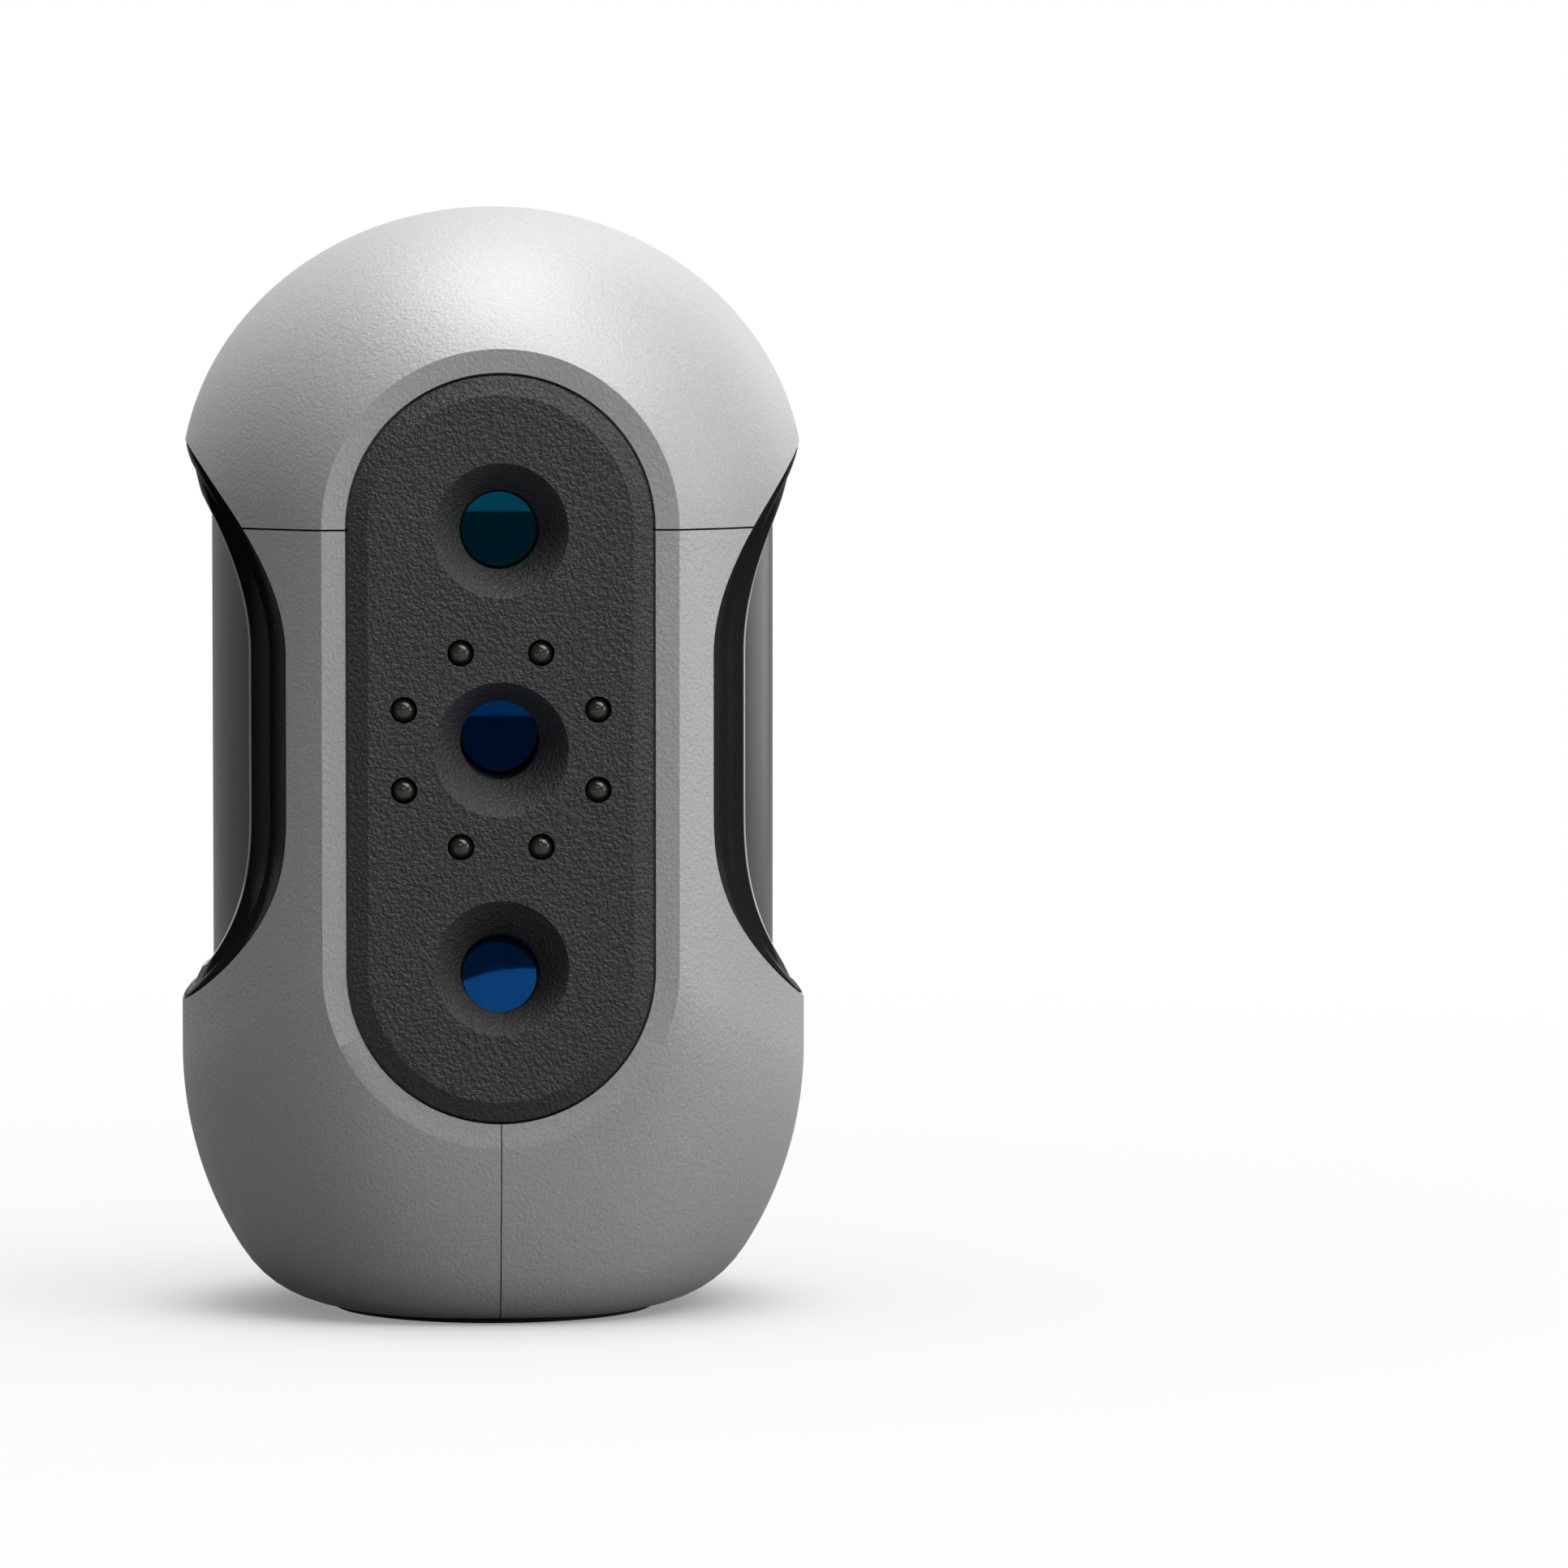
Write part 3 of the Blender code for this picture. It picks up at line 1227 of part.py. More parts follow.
def make_button_group(materials):
    """Scan button, switch plunger, their board, and the status light's pipe."""
    bottom = BUTTON_BACK
    wall = COLUMN_BACK_WALL - GAP
    face = COLUMN_FACE + BUTTON_PROUD
    flange_radius = BUTTON_RADIUS + BUTTON_FLANGE
    profile = [
        (0.0, face),
        (BUTTON_RADIUS * BUTTON_DISH_SHARE, face - BUTTON_CROWN / 4),
        (BUTTON_RADIUS - BUTTON_CROWN, face - BUTTON_CROWN),
        (BUTTON_RADIUS, face - 2 * BUTTON_CROWN),
        (BUTTON_RADIUS, wall),
        (flange_radius, wall),
        (flange_radius, bottom),
        (0.0, bottom),
    ]
    place = (0.0, 0.0, BUTTON_HEIGHT)
    turned_piece("scan_button", profile, materials["black"], place)
    plunger_end = PLUNGER_BACK + PLUNGER_LENGTH
    plunger_profile = [
        (0.0, plunger_end),
        (PLUNGER_RADIUS, plunger_end),
        (PLUNGER_RADIUS, PLUNGER_BACK),
        (0.0, PLUNGER_BACK),
    ]
    black = materials["black"]
    turned_piece("switch_plunger", plunger_profile, black, place, steps=SMALL_STEPS)

    board_front = BUTTON_BOARD_FRONT
    low = (-BUTTON_BOARD_HALF_WIDTH, board_front, BUTTON_HEIGHT - BUTTON_BOARD_BELOW)
    high = (BUTTON_BOARD_HALF_WIDTH, BUTTON_BOARD_FACE, BUTTON_HEIGHT + BUTTON_BOARD_ABOVE)
    board = add_piece("button_board", box_mesh("button_board", low, high), materials["board"])
    middle = midway(board_front, BUTTON_BOARD_FACE)
    half = SWITCH_WIDTH / 2
    switch_low = (-half, middle, BUTTON_HEIGHT - half)
    join(board, box_cutter(switch_low, (half, SWITCH_FACE, BUTTON_HEIGHT + half)))
    well = PLUNGER_BACK - PLUNGER_TRAVEL_ROOM
    cut(board, rod_cutter(PLUNGER_RADIUS + GAP, well, SWITCH_FACE + OVERRUN, place))
    light = BUTTON_HEIGHT + LIGHT_ABOVE
    half = LIGHT_CHIP_WIDTH / 2
    chip_back = BUTTON_BOARD_FACE + LIGHT_CHIP_THICKNESS
    join(board, box_cutter((-half, middle, light - half), (half, chip_back, light + half)))
    screw_places = [
        (x, 0.0, BUTTON_HEIGHT - BUTTON_POST_BELOW)
        for x in (-BUTTON_POST_ACROSS, BUTTON_POST_ACROSS)
    ]
    for spot in screw_places:
        start = board_front - OVERRUN
        hole = rod_cutter(SCREW_RADIUS + GAP, start, middle + OVERRUN, spot, steps=SMALL_STEPS)
        cut(board, hole)
    screw = screw_mesh("button_screw", BUTTON_SCREW_LENGTH)
    seats = [(x, board_front - GAP, z) for x, _, z in screw_places]
    place_screws("button_screw", screw, seats, UPRIGHT_TO_BACK, materials["steel"])

    pipe_profile = [
        (0.0, COLUMN_FACE + LIGHT_PROUD),
        (LIGHT_RADIUS, COLUMN_FACE + LIGHT_PROUD),
        (LIGHT_RADIUS, chip_back + GAP),
        (0.0, chip_back + GAP),
    ]
    spot = (0.0, 0.0, light)
    clear = materials["clear"]
    turned_piece("status_light_pipe", pipe_profile, clear, spot, steps=SMALL_STEPS)


def make_socket(materials):
    """Metal socket shell with a shoulder inside, a nut outside and the contact insert."""
    place = (0.0, 0.0, SOCKET_HEIGHT)
    mouth = SOCKET_FACE + SOCKET_PROUD
    back = mouth - SOCKET_LENGTH
    shoulder_end = SOCKET_BACK_WALL - GAP
    tube = [
        (SOCKET_RADIUS, mouth),
        (SOCKET_RADIUS, shoulder_end),
        (SOCKET_SHOULDER_RADIUS, shoulder_end),
        (SOCKET_SHOULDER_RADIUS, shoulder_end - SOCKET_SHOULDER),
        (SOCKET_RADIUS, shoulder_end - SOCKET_SHOULDER),
        (SOCKET_RADIUS, back),
        (SOCKET_BORE_RADIUS, back),
        (SOCKET_BORE_RADIUS, mouth),
    ]
    turned_piece("cable_socket", tube, materials["steel"], place)

    nut_start = SOCKET_FACE + GAP
    nut_end = nut_start + NUT_THICKNESS
    nut = add_piece(
        "socket_nut",
        rod_mesh("socket_nut", NUT_RADIUS, nut_start, nut_end, NUT_FLATS),
        materials["steel"],
    )
    nut.location = place
    nut.rotation_euler = (UPRIGHT_TO_BACK, 0.0, 0.0)
    cut(nut, rod_cutter(SOCKET_RADIUS + GAP, nut_start - OVERRUN, nut_end + OVERRUN, place))

    insert_start = back + INSERT_FROM_BACK
    insert_end = insert_start + INSERT_LENGTH
    profile = [
        (0.0, insert_end),
        (SOCKET_BORE_RADIUS - GAP, insert_end),
        (SOCKET_BORE_RADIUS - GAP, insert_start),
        (0.0, insert_start),
    ]
    insert = turned_piece("socket_insert", profile, materials["black"], place)
    for k in range(PIN_COUNT):
        turn = 2 * math.pi * k / PIN_COUNT
        x = PIN_CIRCLE_RADIUS * math.cos(turn)
        z = SOCKET_HEIGHT + PIN_CIRCLE_RADIUS * math.sin(turn)
        start = insert_end - PIN_LENGTH / 2
        pin = rod_cutter(PIN_RADIUS, start, insert_end + PIN_LENGTH, (x, 0.0, z), steps=PIN_STEPS)
        join(insert, pin)


# Foot and tripod plate


def make_base(materials):
    """Foot pad, tripod plate and the screws that hold the lower halves to it."""
    foot = add_piece(
        "base_foot", plate_mesh("base_foot", foot_outline(), FOOT_THICKNESS), materials["rubber"]
    )
    foot.location = (0.0, 0.0, FOOT_THICKNESS / 2)
    hole = rod_cutter(TRIPOD_BOSS_RADIUS + GAP, -OVERRUN, CASING_FLOOR, (0.0, 0.0, 0.0), 0.0)
    cut(foot, hole)

    top = TRIPOD_PLATE_LOW + TRIPOD_PLATE_THICKNESS
    low = (-TRIPOD_PLATE_HALF_WIDTH, -TRIPOD_PLATE_HALF_DEPTH, TRIPOD_PLATE_LOW)
    high = (TRIPOD_PLATE_HALF_WIDTH, TRIPOD_PLATE_HALF_DEPTH, top)
    plate = add_piece("tripod_plate", box_mesh("tripod_plate", low, high), materials["steel"])
    centre = (0.0, 0.0, 0.0)
    middle = midway(TRIPOD_PLATE_LOW, top)
    join(plate, rod_cutter(TRIPOD_BOSS_RADIUS, TRIPOD_BOSS_RECESS, middle, centre, 0.0))
    cut(plate, rod_cutter(TRIPOD_BORE_RADIUS, -OVERRUN, top + OVERRUN, centre, 0.0))
    for x, y in base_screw_places():
        place = (x, y, 0.0)
        cut(plate, rod_cutter(SCREW_RADIUS + GAP, 0.0, top + OVERRUN, place, 0.0, SMALL_STEPS))
    smooth(plate)
    screw = screw_mesh("base_screw", BASE_SCREW_LENGTH)
    seats = [(x, y, FOOT_SEAT + SCREW_HEAD_HEIGHT) for x, y in base_screw_places()]
    place_screws("base_screw", screw, seats, 0.0, materials["steel"])


def make_materials():
    return {
        "silver": finish_material("silver_casing", (0.52, 0.52, 0.52), 0.45, 0.1),
        "gloss_black": finish_material("gloss_black_trim", (0.012, 0.012, 0.013), 0.12),
        "gloss_grey": finish_material("gloss_grey_grip", (0.16, 0.16, 0.165), 0.2),
        "charcoal": finish_material("charcoal_panel", (0.045, 0.045, 0.046), 0.6),
        "rubber": finish_material("dark_rubber", (0.03, 0.03, 0.03), 0.8),
        "black": finish_material("black_moulding", (0.015, 0.015, 0.016), 0.4),
        "glass": finish_material("coated_glass", (0.01, 0.05, 0.12), 0.05, 0.0, 0.3),
        "clear": finish_material("clear_lamp", (0.45, 0.43, 0.36), 0.1, 0.0, 0.6),
        "board": finish_material("circuit_board", (0.02, 0.10, 0.05), 0.5),
        "chip": finish_material("chip_black", (0.02, 0.02, 0.02), 0.4),
        "alloy": finish_material("cast_alloy", (0.50, 0.51, 0.52), 0.4, 0.9),
        "steel": finish_material("plated_steel", (0.60, 0.60, 0.60), 0.3, 1.0),
    }


def build():
    materials = make_materials()
    make_covers(materials["silver"])
    make_column(materials["gloss_grey"])
    grip_trim("left_grip_trim", -1, materials["gloss_black"])
    grip_trim("right_grip_trim", 1, materials["gloss_black"])
    make_front_panel(materials["charcoal"])
    make_gasket(materials["rubber"])
    for name, (z, tilt) in LENSES.items():
        make_lens_module(name, z, tilt, materials)
    make_lamps(materials)
    make_bench(materials)
    make_main_board(materials)
    make_button_group(materials)
    make_socket(materials)
    make_base(materials)


clear_scene()
PARTS = new_collection("hand_held_scanner")
CUTTERS = new_collection("cutters")
build()
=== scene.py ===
"""Looks of the hand-held scanner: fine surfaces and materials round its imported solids.

Metres, in the same frame as the solids: X is the width, the lens panel faces -Y, +Z is up
and the origin is on the ground under the middle of the casing. A name that ends in SHARE
is a part of another size, or shapes a curve, and one that ends in CELLS counts the cells
of a noise in a metre.
"""

import json
import math

import bmesh
import bpy
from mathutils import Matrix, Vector


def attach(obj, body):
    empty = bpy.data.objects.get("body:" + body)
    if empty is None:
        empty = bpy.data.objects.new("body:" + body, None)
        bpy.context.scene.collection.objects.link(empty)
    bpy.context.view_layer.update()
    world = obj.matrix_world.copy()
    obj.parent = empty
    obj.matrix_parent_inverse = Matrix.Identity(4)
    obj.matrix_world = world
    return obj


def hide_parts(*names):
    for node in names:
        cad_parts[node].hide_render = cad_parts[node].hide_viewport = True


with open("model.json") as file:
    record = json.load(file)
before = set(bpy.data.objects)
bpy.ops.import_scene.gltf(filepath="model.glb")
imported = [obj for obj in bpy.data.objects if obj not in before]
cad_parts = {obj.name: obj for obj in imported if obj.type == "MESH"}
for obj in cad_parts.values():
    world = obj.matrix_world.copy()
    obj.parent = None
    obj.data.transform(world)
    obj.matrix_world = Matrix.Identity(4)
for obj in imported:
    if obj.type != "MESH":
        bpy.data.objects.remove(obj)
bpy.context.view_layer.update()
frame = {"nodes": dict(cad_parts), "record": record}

ROOT = "scanner"
BUTTON = "button"

# The casing's loft, with the same sizes as the solids
HEIGHT = 0.1166
HALF_WIDTH = 0.0330
DOME_RISE = 0.0298
BULB_HEIGHT = 0.0276
BULB_DROP = 0.0365
FRONT_DEPTH = 0.0260
BACK_DEPTH = 0.0263
REAR_HALF_WIDTH = 0.0120
REAR_TOP = 0.0926
REAR_LOW = 0.0266
WALL = 0.0020
FLOOR_WALL = 0.0030
BASE_FILLET = 0.0060
FOOT_PROUD = 0.0003
SEAM_HEIGHT = 0.0832
SIDE_BLUFF_SHARE = 1.19
BASE_BLUFF_SHARE = 1.015
UNDER_BLUFF_SHARE = 1.09
UNDER_ROUNDNESS_SHARE = 4.2
UNDER_SPREAD_SHARE = 4.0
REAR_ROUNDNESS_SHARE = 2.2
SIDE_ROUNDNESS_SHARE = 2.0
GAP = 0.0003
LEVEL_SEAM = 0.00020
UPRIGHT_SEAM = 0.00012
OVERRUN = 0.0040

# A lip behind the front seam, which only the scene has
LIP_HALF_WIDTH = 0.0006
LIP_THICKNESS = 0.0008
LIP_RISE = 0.0015

# The countersunk ring, the panel and its seat
RING_HALF_WIDTH = 0.0185
RING_TOP = 0.1019
RING_LOW = 0.0191
RING_BAND = 0.00275
RING_DEPTH = 0.0003
SEAT_WIDTH = 0.0016
SEAT_SETBACK = 0.0023
SEAT_THICKNESS = 0.0014
PANEL_CHAMFER = 0.0020
PANEL_PROUD = 0.0008
PANEL_THICKNESS = 0.0023
PANEL_RIM = 0.0013

# Lens recesses, their windows and the lamps round the middle one
LENS_SPACING = 0.02265
MIDDLE_LENS_HEIGHT = 0.0605
TOE_IN = math.radians(10.0)
RECESS_RADIUS = 0.0070
RECESS_DEPTH = 0.0041
BORE_RADIUS = 0.00415
CUP_WALL = 0.0012
CUP_LIP = 0.0008
CUP_START_SHARE = 0.7
WINDOW_SETBACK = 0.0030
WINDOW_THICKNESS = 0.0014
WINDOW_DISH = 0.00012
WINDOW_LEANS = {
    "upper": math.radians(-2.2),
    "middle": math.radians(-3.0),
    "lower": math.radians(-10.0),
}
LAMP_COUNT = 8
LAMP_CIRCLE_RADIUS = 0.01087
LAMP_HOLE_RADIUS = 0.00139
LAMP_RADIUS = 0.00127
LAMP_PROUD = 0.0001

# The grip loops, the column behind them and the trims between
GRIP_UPPER_TURN = 0.0701
GRIP_LOWER_TURN = 0.0542
GRIP_LOWER_FULLNESS_SHARE = 2.7
EDGE_REACH = 0.0230
EDGE_TOP = 0.0917
EDGE_LOW = 0.0331
COLUMN_REACH = 0.0145
COLUMN_TOP = 0.0860
COLUMN_LOW = 0.0365
COLUMN_DEPTH = 0.0033
COLUMN_WALL = 0.0020
COLUMN_TUCK_REACH = 0.0200
COLUMN_TUCK = 0.0005
SPINE_HALF_WIDTH = 0.0190
SPINE_BACK = 0.0190
TRIM_EDGE_DEPTH = 0.00015
TRIM_STEP_DEPTH = 0.0010
TRIM_STEP_DROP = 0.0003
TRIM_BEAD_DEPTH = 0.0022
TRIM_LINER_EDGE_DEPTH = 0.0010
TRIM_STEP_SHARE = 0.36
TRIM_STEP_END_SHARE = 0.38
TRIM_STEP_CURVE_SHARE = 1.2
TRIM_BEAD_SHARE = 0.93
TRIM_BEAD_CREST_SHARE = 0.6
TRIM_BEAD_SAG_SHARE = 0.45
TRIM_BEAD_END_SHARE = 0.6
TRIM_LINER_SHARE = 0.36

# The scan button and the light above it
BUTTON_HEIGHT = 0.0720
BUTTON_RADIUS = 0.0050
BUTTON_PROUD = 0.0010
BUTTON_CROWN = 0.0004
BUTTON_DISH_SHARE = 0.7
BUTTON_FLANGE = 0.0010
BUTTON_FLANGE_THICKNESS = 0.0012
LIGHT_ABOVE = 0.0090
LIGHT_RADIUS = 0.0011
LIGHT_PROUD = 0.0001
LIGHT_LENGTH = 0.0030

# The cable socket and the foot
SOCKET_HEIGHT = 0.0190
SOCKET_RADIUS = 0.0048
SOCKET_BORE_RADIUS = 0.0038
SOCKET_PROUD = 0.0014
SOCKET_LENGTH = 0.0120
SOCKET_WELL_RADIUS = 0.0075
SOCKET_WELL_DEPTH = 0.0034
SOCKET_WALL = 0.0026
SOCKET_BOSS_MARGIN = 0.0012
SOCKET_EDGE = 0.0003
NUT_RADIUS = 0.0066
NUT_THICKNESS = 0.0011
NUT_SIDES = 6
FOOT_HALF_WIDTH = 0.0172
FOOT_FRONT = 0.0190
FOOT_BACK = 0.0155
FOOT_THICKNESS = 0.0012
FOOT_EDGE = 0.0004
TRIPOD_BOSS_RADIUS = 0.0052

# Fine facets
ARC_STEPS = 120
SIDE_STEPS = 10
FILLET_STEPS = 10
FLAT_STEPS = 5
STEEPEST_TURN = math.radians(68.0)
FLATTEST_TURN = math.radians(83.0)
TURN_SEARCH_STEPS = 30
SHELL_STEPS = 40
LINER_STEPS = 4
TRIM_STEPS = 48
TRIM_WRAP_STEPS = 32
TRIM_SLOPE_STEPS = 8
TURN_STEPS = 96
SMALL_TURN_STEPS = 48
LIGHT_HOLE_STEPS = 32
DOME_STEPS = 12
DISH_STEPS = 8
CORNER_STEPS = 6
NUT_EDGE_STEPS = 3
FOOT_EDGE_STEPS = 4

# Edges that turn by more than this stay sharp
SHARP_TURN = math.radians(30.0)
SOLID_SHARP_TURN = math.radians(25.0)
PANEL_SHARP_TURN = math.radians(20.0)
NUT_SHARP_TURN = math.radians(50.0)
NUT_BEVEL_TURN = math.radians(40.0)

# Places that follow from the sizes
PANEL_FACE = -FRONT_DEPTH - PANEL_PROUD
PANEL_BACK = PANEL_FACE + PANEL_THICKNESS
PANEL_HALF_WIDTH = RING_HALF_WIDTH - RING_BAND
PANEL_TOP = RING_TOP - RING_BAND
PANEL_LOW = RING_LOW + RING_BAND
RING_FLOOR = -FRONT_DEPTH + RING_DEPTH
SEAT_FRONT = RING_FLOOR + SEAT_SETBACK
SEAT_BACK = SEAT_FRONT + SEAT_THICKNESS
CASING_FLOOR = FOOT_PROUD + FLOOR_WALL
RECESS_SLOPE = (RECESS_RADIUS - BORE_RADIUS) / RECESS_DEPTH
BORE_FACE = PANEL_FACE + RECESS_DEPTH
CUP_BACK = BORE_FACE + CUP_LIP
COLUMN_FACE = BACK_DEPTH - COLUMN_DEPTH
BUTTON_PLACE = (0.0, 0.0, BUTTON_HEIGHT)
LIGHT_PLACE = (0.0, 0.0, BUTTON_HEIGHT + LIGHT_ABOVE)
SOCKET_PLACE = (0.0, 0.0, SOCKET_HEIGHT)
SOCKET_FACE = BACK_DEPTH - SOCKET_WELL_DEPTH
SOCKET_BACK_WALL = SOCKET_FACE - SOCKET_WALL
FOOT_SEAT = FOOT_THICKNESS + GAP
LENSES = {
    "upper": (MIDDLE_LENS_HEIGHT + LENS_SPACING, 0.0),
    "middle": (MIDDLE_LENS_HEIGHT, TOE_IN),
    "lower": (MIDDLE_LENS_HEIGHT - LENS_SPACING, -TOE_IN),
}


# Mesh helpers


def blend(start, end, share):
    return start + (end - start) * share


def quarter(steps):
    return [math.pi / 2 * step / steps for step in range(steps + 1)]


def quarter_shares(steps):
    return [math.sin(turn) for turn in quarter(steps)]


def evaluated_mesh(piece):
    bpy.context.view_layer.update()
    graph = bpy.context.evaluated_depsgraph_get()
    return bpy.data.meshes.new_from_object(piece.evaluated_get(graph))


def mesh_from(builder, name):
    mesh = bpy.data.meshes.new(name)
    builder.to_mesh(mesh)
    builder.free()
    return mesh


def new_object(name, data):
    piece = bpy.data.objects.new(name, data)
    bpy.context.scene.collection.objects.link(piece)
    return piece


def combine(target, tool, operation, keep_tool=False):
    """Joins, cuts or crosses the target with a tool, which is then removed."""
    boolean = target.modifiers.new(operation.lower(), "BOOLEAN")
    boolean.operation = operation
    boolean.solver = "EXACT"
    boolean.object = tool
    target.data = evaluated_mesh(target)
    target.modifiers.clear()
    if not keep_tool:
        bpy.data.objects.remove(tool)
    return target


def cut(target, tool, keep_tool=False):
    return combine(target, tool, "DIFFERENCE", keep_tool)


def keep_inside(target, tool):
    return combine(target, tool, "INTERSECT")


def smooth(piece, turn=SHARP_TURN):
    piece.data.shade_smooth()
    piece.data.set_sharp_from_angle(angle=turn)
    return piece


def box_tool(low, high):
    """A box between two opposite corners."""
    builder = bmesh.new()
    bmesh.ops.create_cube(builder, size=1.0)
    for vert in builder.verts:
        vert.co = [low[k] + (high[k] - low[k]) * (vert.co[k] + 0.5) for k in range(3)]
    return new_object("box", mesh_from(builder, "box"))


def rod_tool(radius, start, end, place, steps=TURN_STEPS):
    """A rod along Y from start to end behind place."""
    builder = bmesh.new()
    bmesh.ops.create_cone(
        builder, cap_ends=True, segments=steps, radius1=radius, radius2=radius, depth=end - start
    )
    bmesh.ops.translate(builder, verts=builder.verts, vec=(0.0, 0.0, (start + end) / 2))
    tool = new_object("rod", mesh_from(builder, "rod"))
    tool.location = place
    tool.rotation_euler = (-math.pi / 2, 0.0, 0.0)
    return tool


def turned(name, profile, place, lean=-math.pi / 2, steps=TURN_STEPS):
    """A turned solid from a profile of radius and height, closed if it starts off its axis."""
    builder = bmesh.new()
    rings = []
    for radius, height in profile:
        if radius <= 0.0:
            rings.append([builder.verts.new((0.0, 0.0, height))])
            continue
        turns = [2 * math.pi * step / steps for step in range(steps)]
        rings.append(
            [builder.verts.new((radius * math.cos(t), radius * math.sin(t), height)) for t in turns]
        )
    pairs = list(zip(rings, rings[1:]))
    if profile[0][0] > 0.0:
        pairs.append((rings[-1], rings[0]))
    for near, far in pairs:
        for k in range(steps):
            after = (k + 1) % steps
            corners = []
            for vert in (
                near[k % len(near)],
                near[after % len(near)],
                far[after % len(far)],
                far[k % len(far)],
            ):
                if vert not in corners:
                    corners.append(vert)
            if len(corners) > 2:
                builder.faces.new(corners)
    bmesh.ops.recalc_face_normals(builder, faces=builder.faces)
    piece = new_object(name, mesh_from(builder, name))
    piece.location = place
    piece.rotation_euler = (lean, 0.0, 0.0)
    return smooth(piece)


def loft(name, sections, triangles=True):
    """A skin over closed sections with as many points each, capped at both ends."""
    builder = bmesh.new()
    rings = [[builder.verts.new(point) for point in section] for section in sections]
    for near, far in zip(rings, rings[1:]):
        for k in range(len(near)):
            after = (k + 1) % len(near)
            builder.faces.new((near[k], near[after], far[after], far[k]))
    builder.faces.new(rings[0])
    builder.faces.new(rings[-1])
    bmesh.ops.recalc_face_normals(builder, faces=builder.faces)
    if triangles:
        bmesh.ops.triangulate(builder, faces=builder.faces)
    return new_object(name, mesh_from(builder, name))


def prism(name, outline, thickness):
    """An outline in local X and Y with a thickness along local Z."""
    builder = bmesh.new()
    verts = [builder.verts.new((x, y, -thickness / 2)) for x, y in outline]
    face = builder.faces.new(verts)
    grown = bmesh.ops.extrude_face_region(builder, geom=[face])
    moved = [item for item in grown["geom"] if isinstance(item, bmesh.types.BMVert)]
    bmesh.ops.translate(builder, verts=moved, vec=(0.0, 0.0, thickness))
    bmesh.ops.recalc_face_normals(builder, faces=builder.faces)
    return new_object(name, mesh_from(builder, name))


# The loft


def stadium(half_width, top, low):
    """An upright outline: half width, upper centre and rise, lower centre and drop."""
    return (half_width, top - half_width, half_width, low + half_width, half_width)


def inset(shape, depth):
    """The same outline, smaller all round by a depth."""
    half_width, upper, rise, lower, drop = shape
    return (half_width - depth, upper, rise - depth, lower, drop - depth)


WIDEST = (HALF_WIDTH, HEIGHT - DOME_RISE, DOME_RISE, BULB_HEIGHT, BULB_DROP)
RING = stadium(RING_HALF_WIDTH, RING_TOP, RING_LOW)
REAR = stadium(REAR_HALF_WIDTH, REAR_TOP, REAR_LOW)
PANEL = stadium(PANEL_HALF_WIDTH, PANEL_TOP, PANEL_LOW)


def lower_turns(steep, flat):
    """Turns of the lower arc, with more steps between steep and flat, where the fillet is."""
    half = math.pi / 2
    wall_steps = ARC_STEPS // 2 - FILLET_STEPS - FLAT_STEPS
    turns = [steep * step / wall_steps for step in range(wall_steps)]
    turns += [blend(steep, flat, step / FILLET_STEPS) for step in range(FILLET_STEPS)]
    turns += [blend(flat, half, step / FLAT_STEPS) for step in range(FLAT_STEPS)]
    return turns + [half] + [math.pi - turn for turn in reversed(turns)]


def rim_directions(steep=None, flat=None):
    """Across, along and the share of the way down, for each point of an outline."""
    turns = [math.pi * step / ARC_STEPS for step in range(ARC_STEPS + 1)]
    lower = turns if steep is None else lower_turns(steep, flat)
    sides = [step / SIDE_STEPS for step in range(1, SIDE_STEPS)]
    rim = [(math.cos(turn), math.sin(turn), 0.0) for turn in turns]
    rim += [(-1.0, 0.0, share) for share in sides]
    rim += [(-math.cos(turn), -math.sin(turn), 1.0) for turn in lower]
    rim += [(1.0, 0.0, 1.0 - share) for share in sides]
    return rim


def rim_point(shape, direction):
    """Across and height of an outline's point in one of the rim directions."""
    half_width, upper, rise, lower, drop = shape
    across, along, share = direction
    reach = rise if share == 0.0 else drop
    return half_width * across, blend(upper, lower, share) + reach * along


def flat_section(shape, y):
    return [(x, y, z) for x, z in (rim_point(shape, d) for d in rim_directions())]


def bulge(forward, bluff, roundness):
    """From 1 in the middle to 0 at the front, along an arc that a longer one is cut from."""
    end = (1.0 - bluff**-roundness) ** (1.0 / roundness)
    here = max(0.0, 1.0 - (forward / bluff) ** roundness) ** (1.0 / roundness)
    return (here - end) / (1.0 - end)


def fullness(y, depth, down=0.0):
    """How near the section at y is to the widest one, from 0 to 1."""
    if y > 0.0:
        roundness = REAR_ROUNDNESS_SHARE
        return max(0.0, 1.0 - (y / (BACK_DEPTH - depth)) ** roundness) ** (1.0 / roundness)
    forward = -y / (FRONT_DEPTH - depth)
    bluff = blend(SIDE_BLUFF_SHARE, BASE_BLUFF_SHARE, down**2)
    beside = bulge(forward, bluff, SIDE_ROUNDNESS_SHARE)
    under = bulge(forward, UNDER_BLUFF_SHARE, UNDER_ROUNDNESS_SHARE)
    return blend(beside, under, down**UNDER_SPREAD_SHARE)


def shape_at(y, depth, down=0.0):
    """The outline at y, between the ring or the rear end and the widest section."""
    end = inset(REAR if y > 0.0 else RING, depth)
    widest = inset(WIDEST, depth)
    share = fullness(y, depth, down)
    return [blend(a, b, share) for a, b in zip(end, widest)]


def above_floor(z, floor):
    """Blends a height into the flat floor over the base fillet."""
    rise = z - floor
    if rise >= BASE_FILLET:
        return z
    if rise <= -BASE_FILLET:
        return floor
    return floor + (rise + BASE_FILLET) ** 2 / (4.0 * BASE_FILLET)


def loft_point(y, depth, direction):
    down = max(0.0, -direction[1])
    return rim_point(shape_at(y, depth, down), direction)


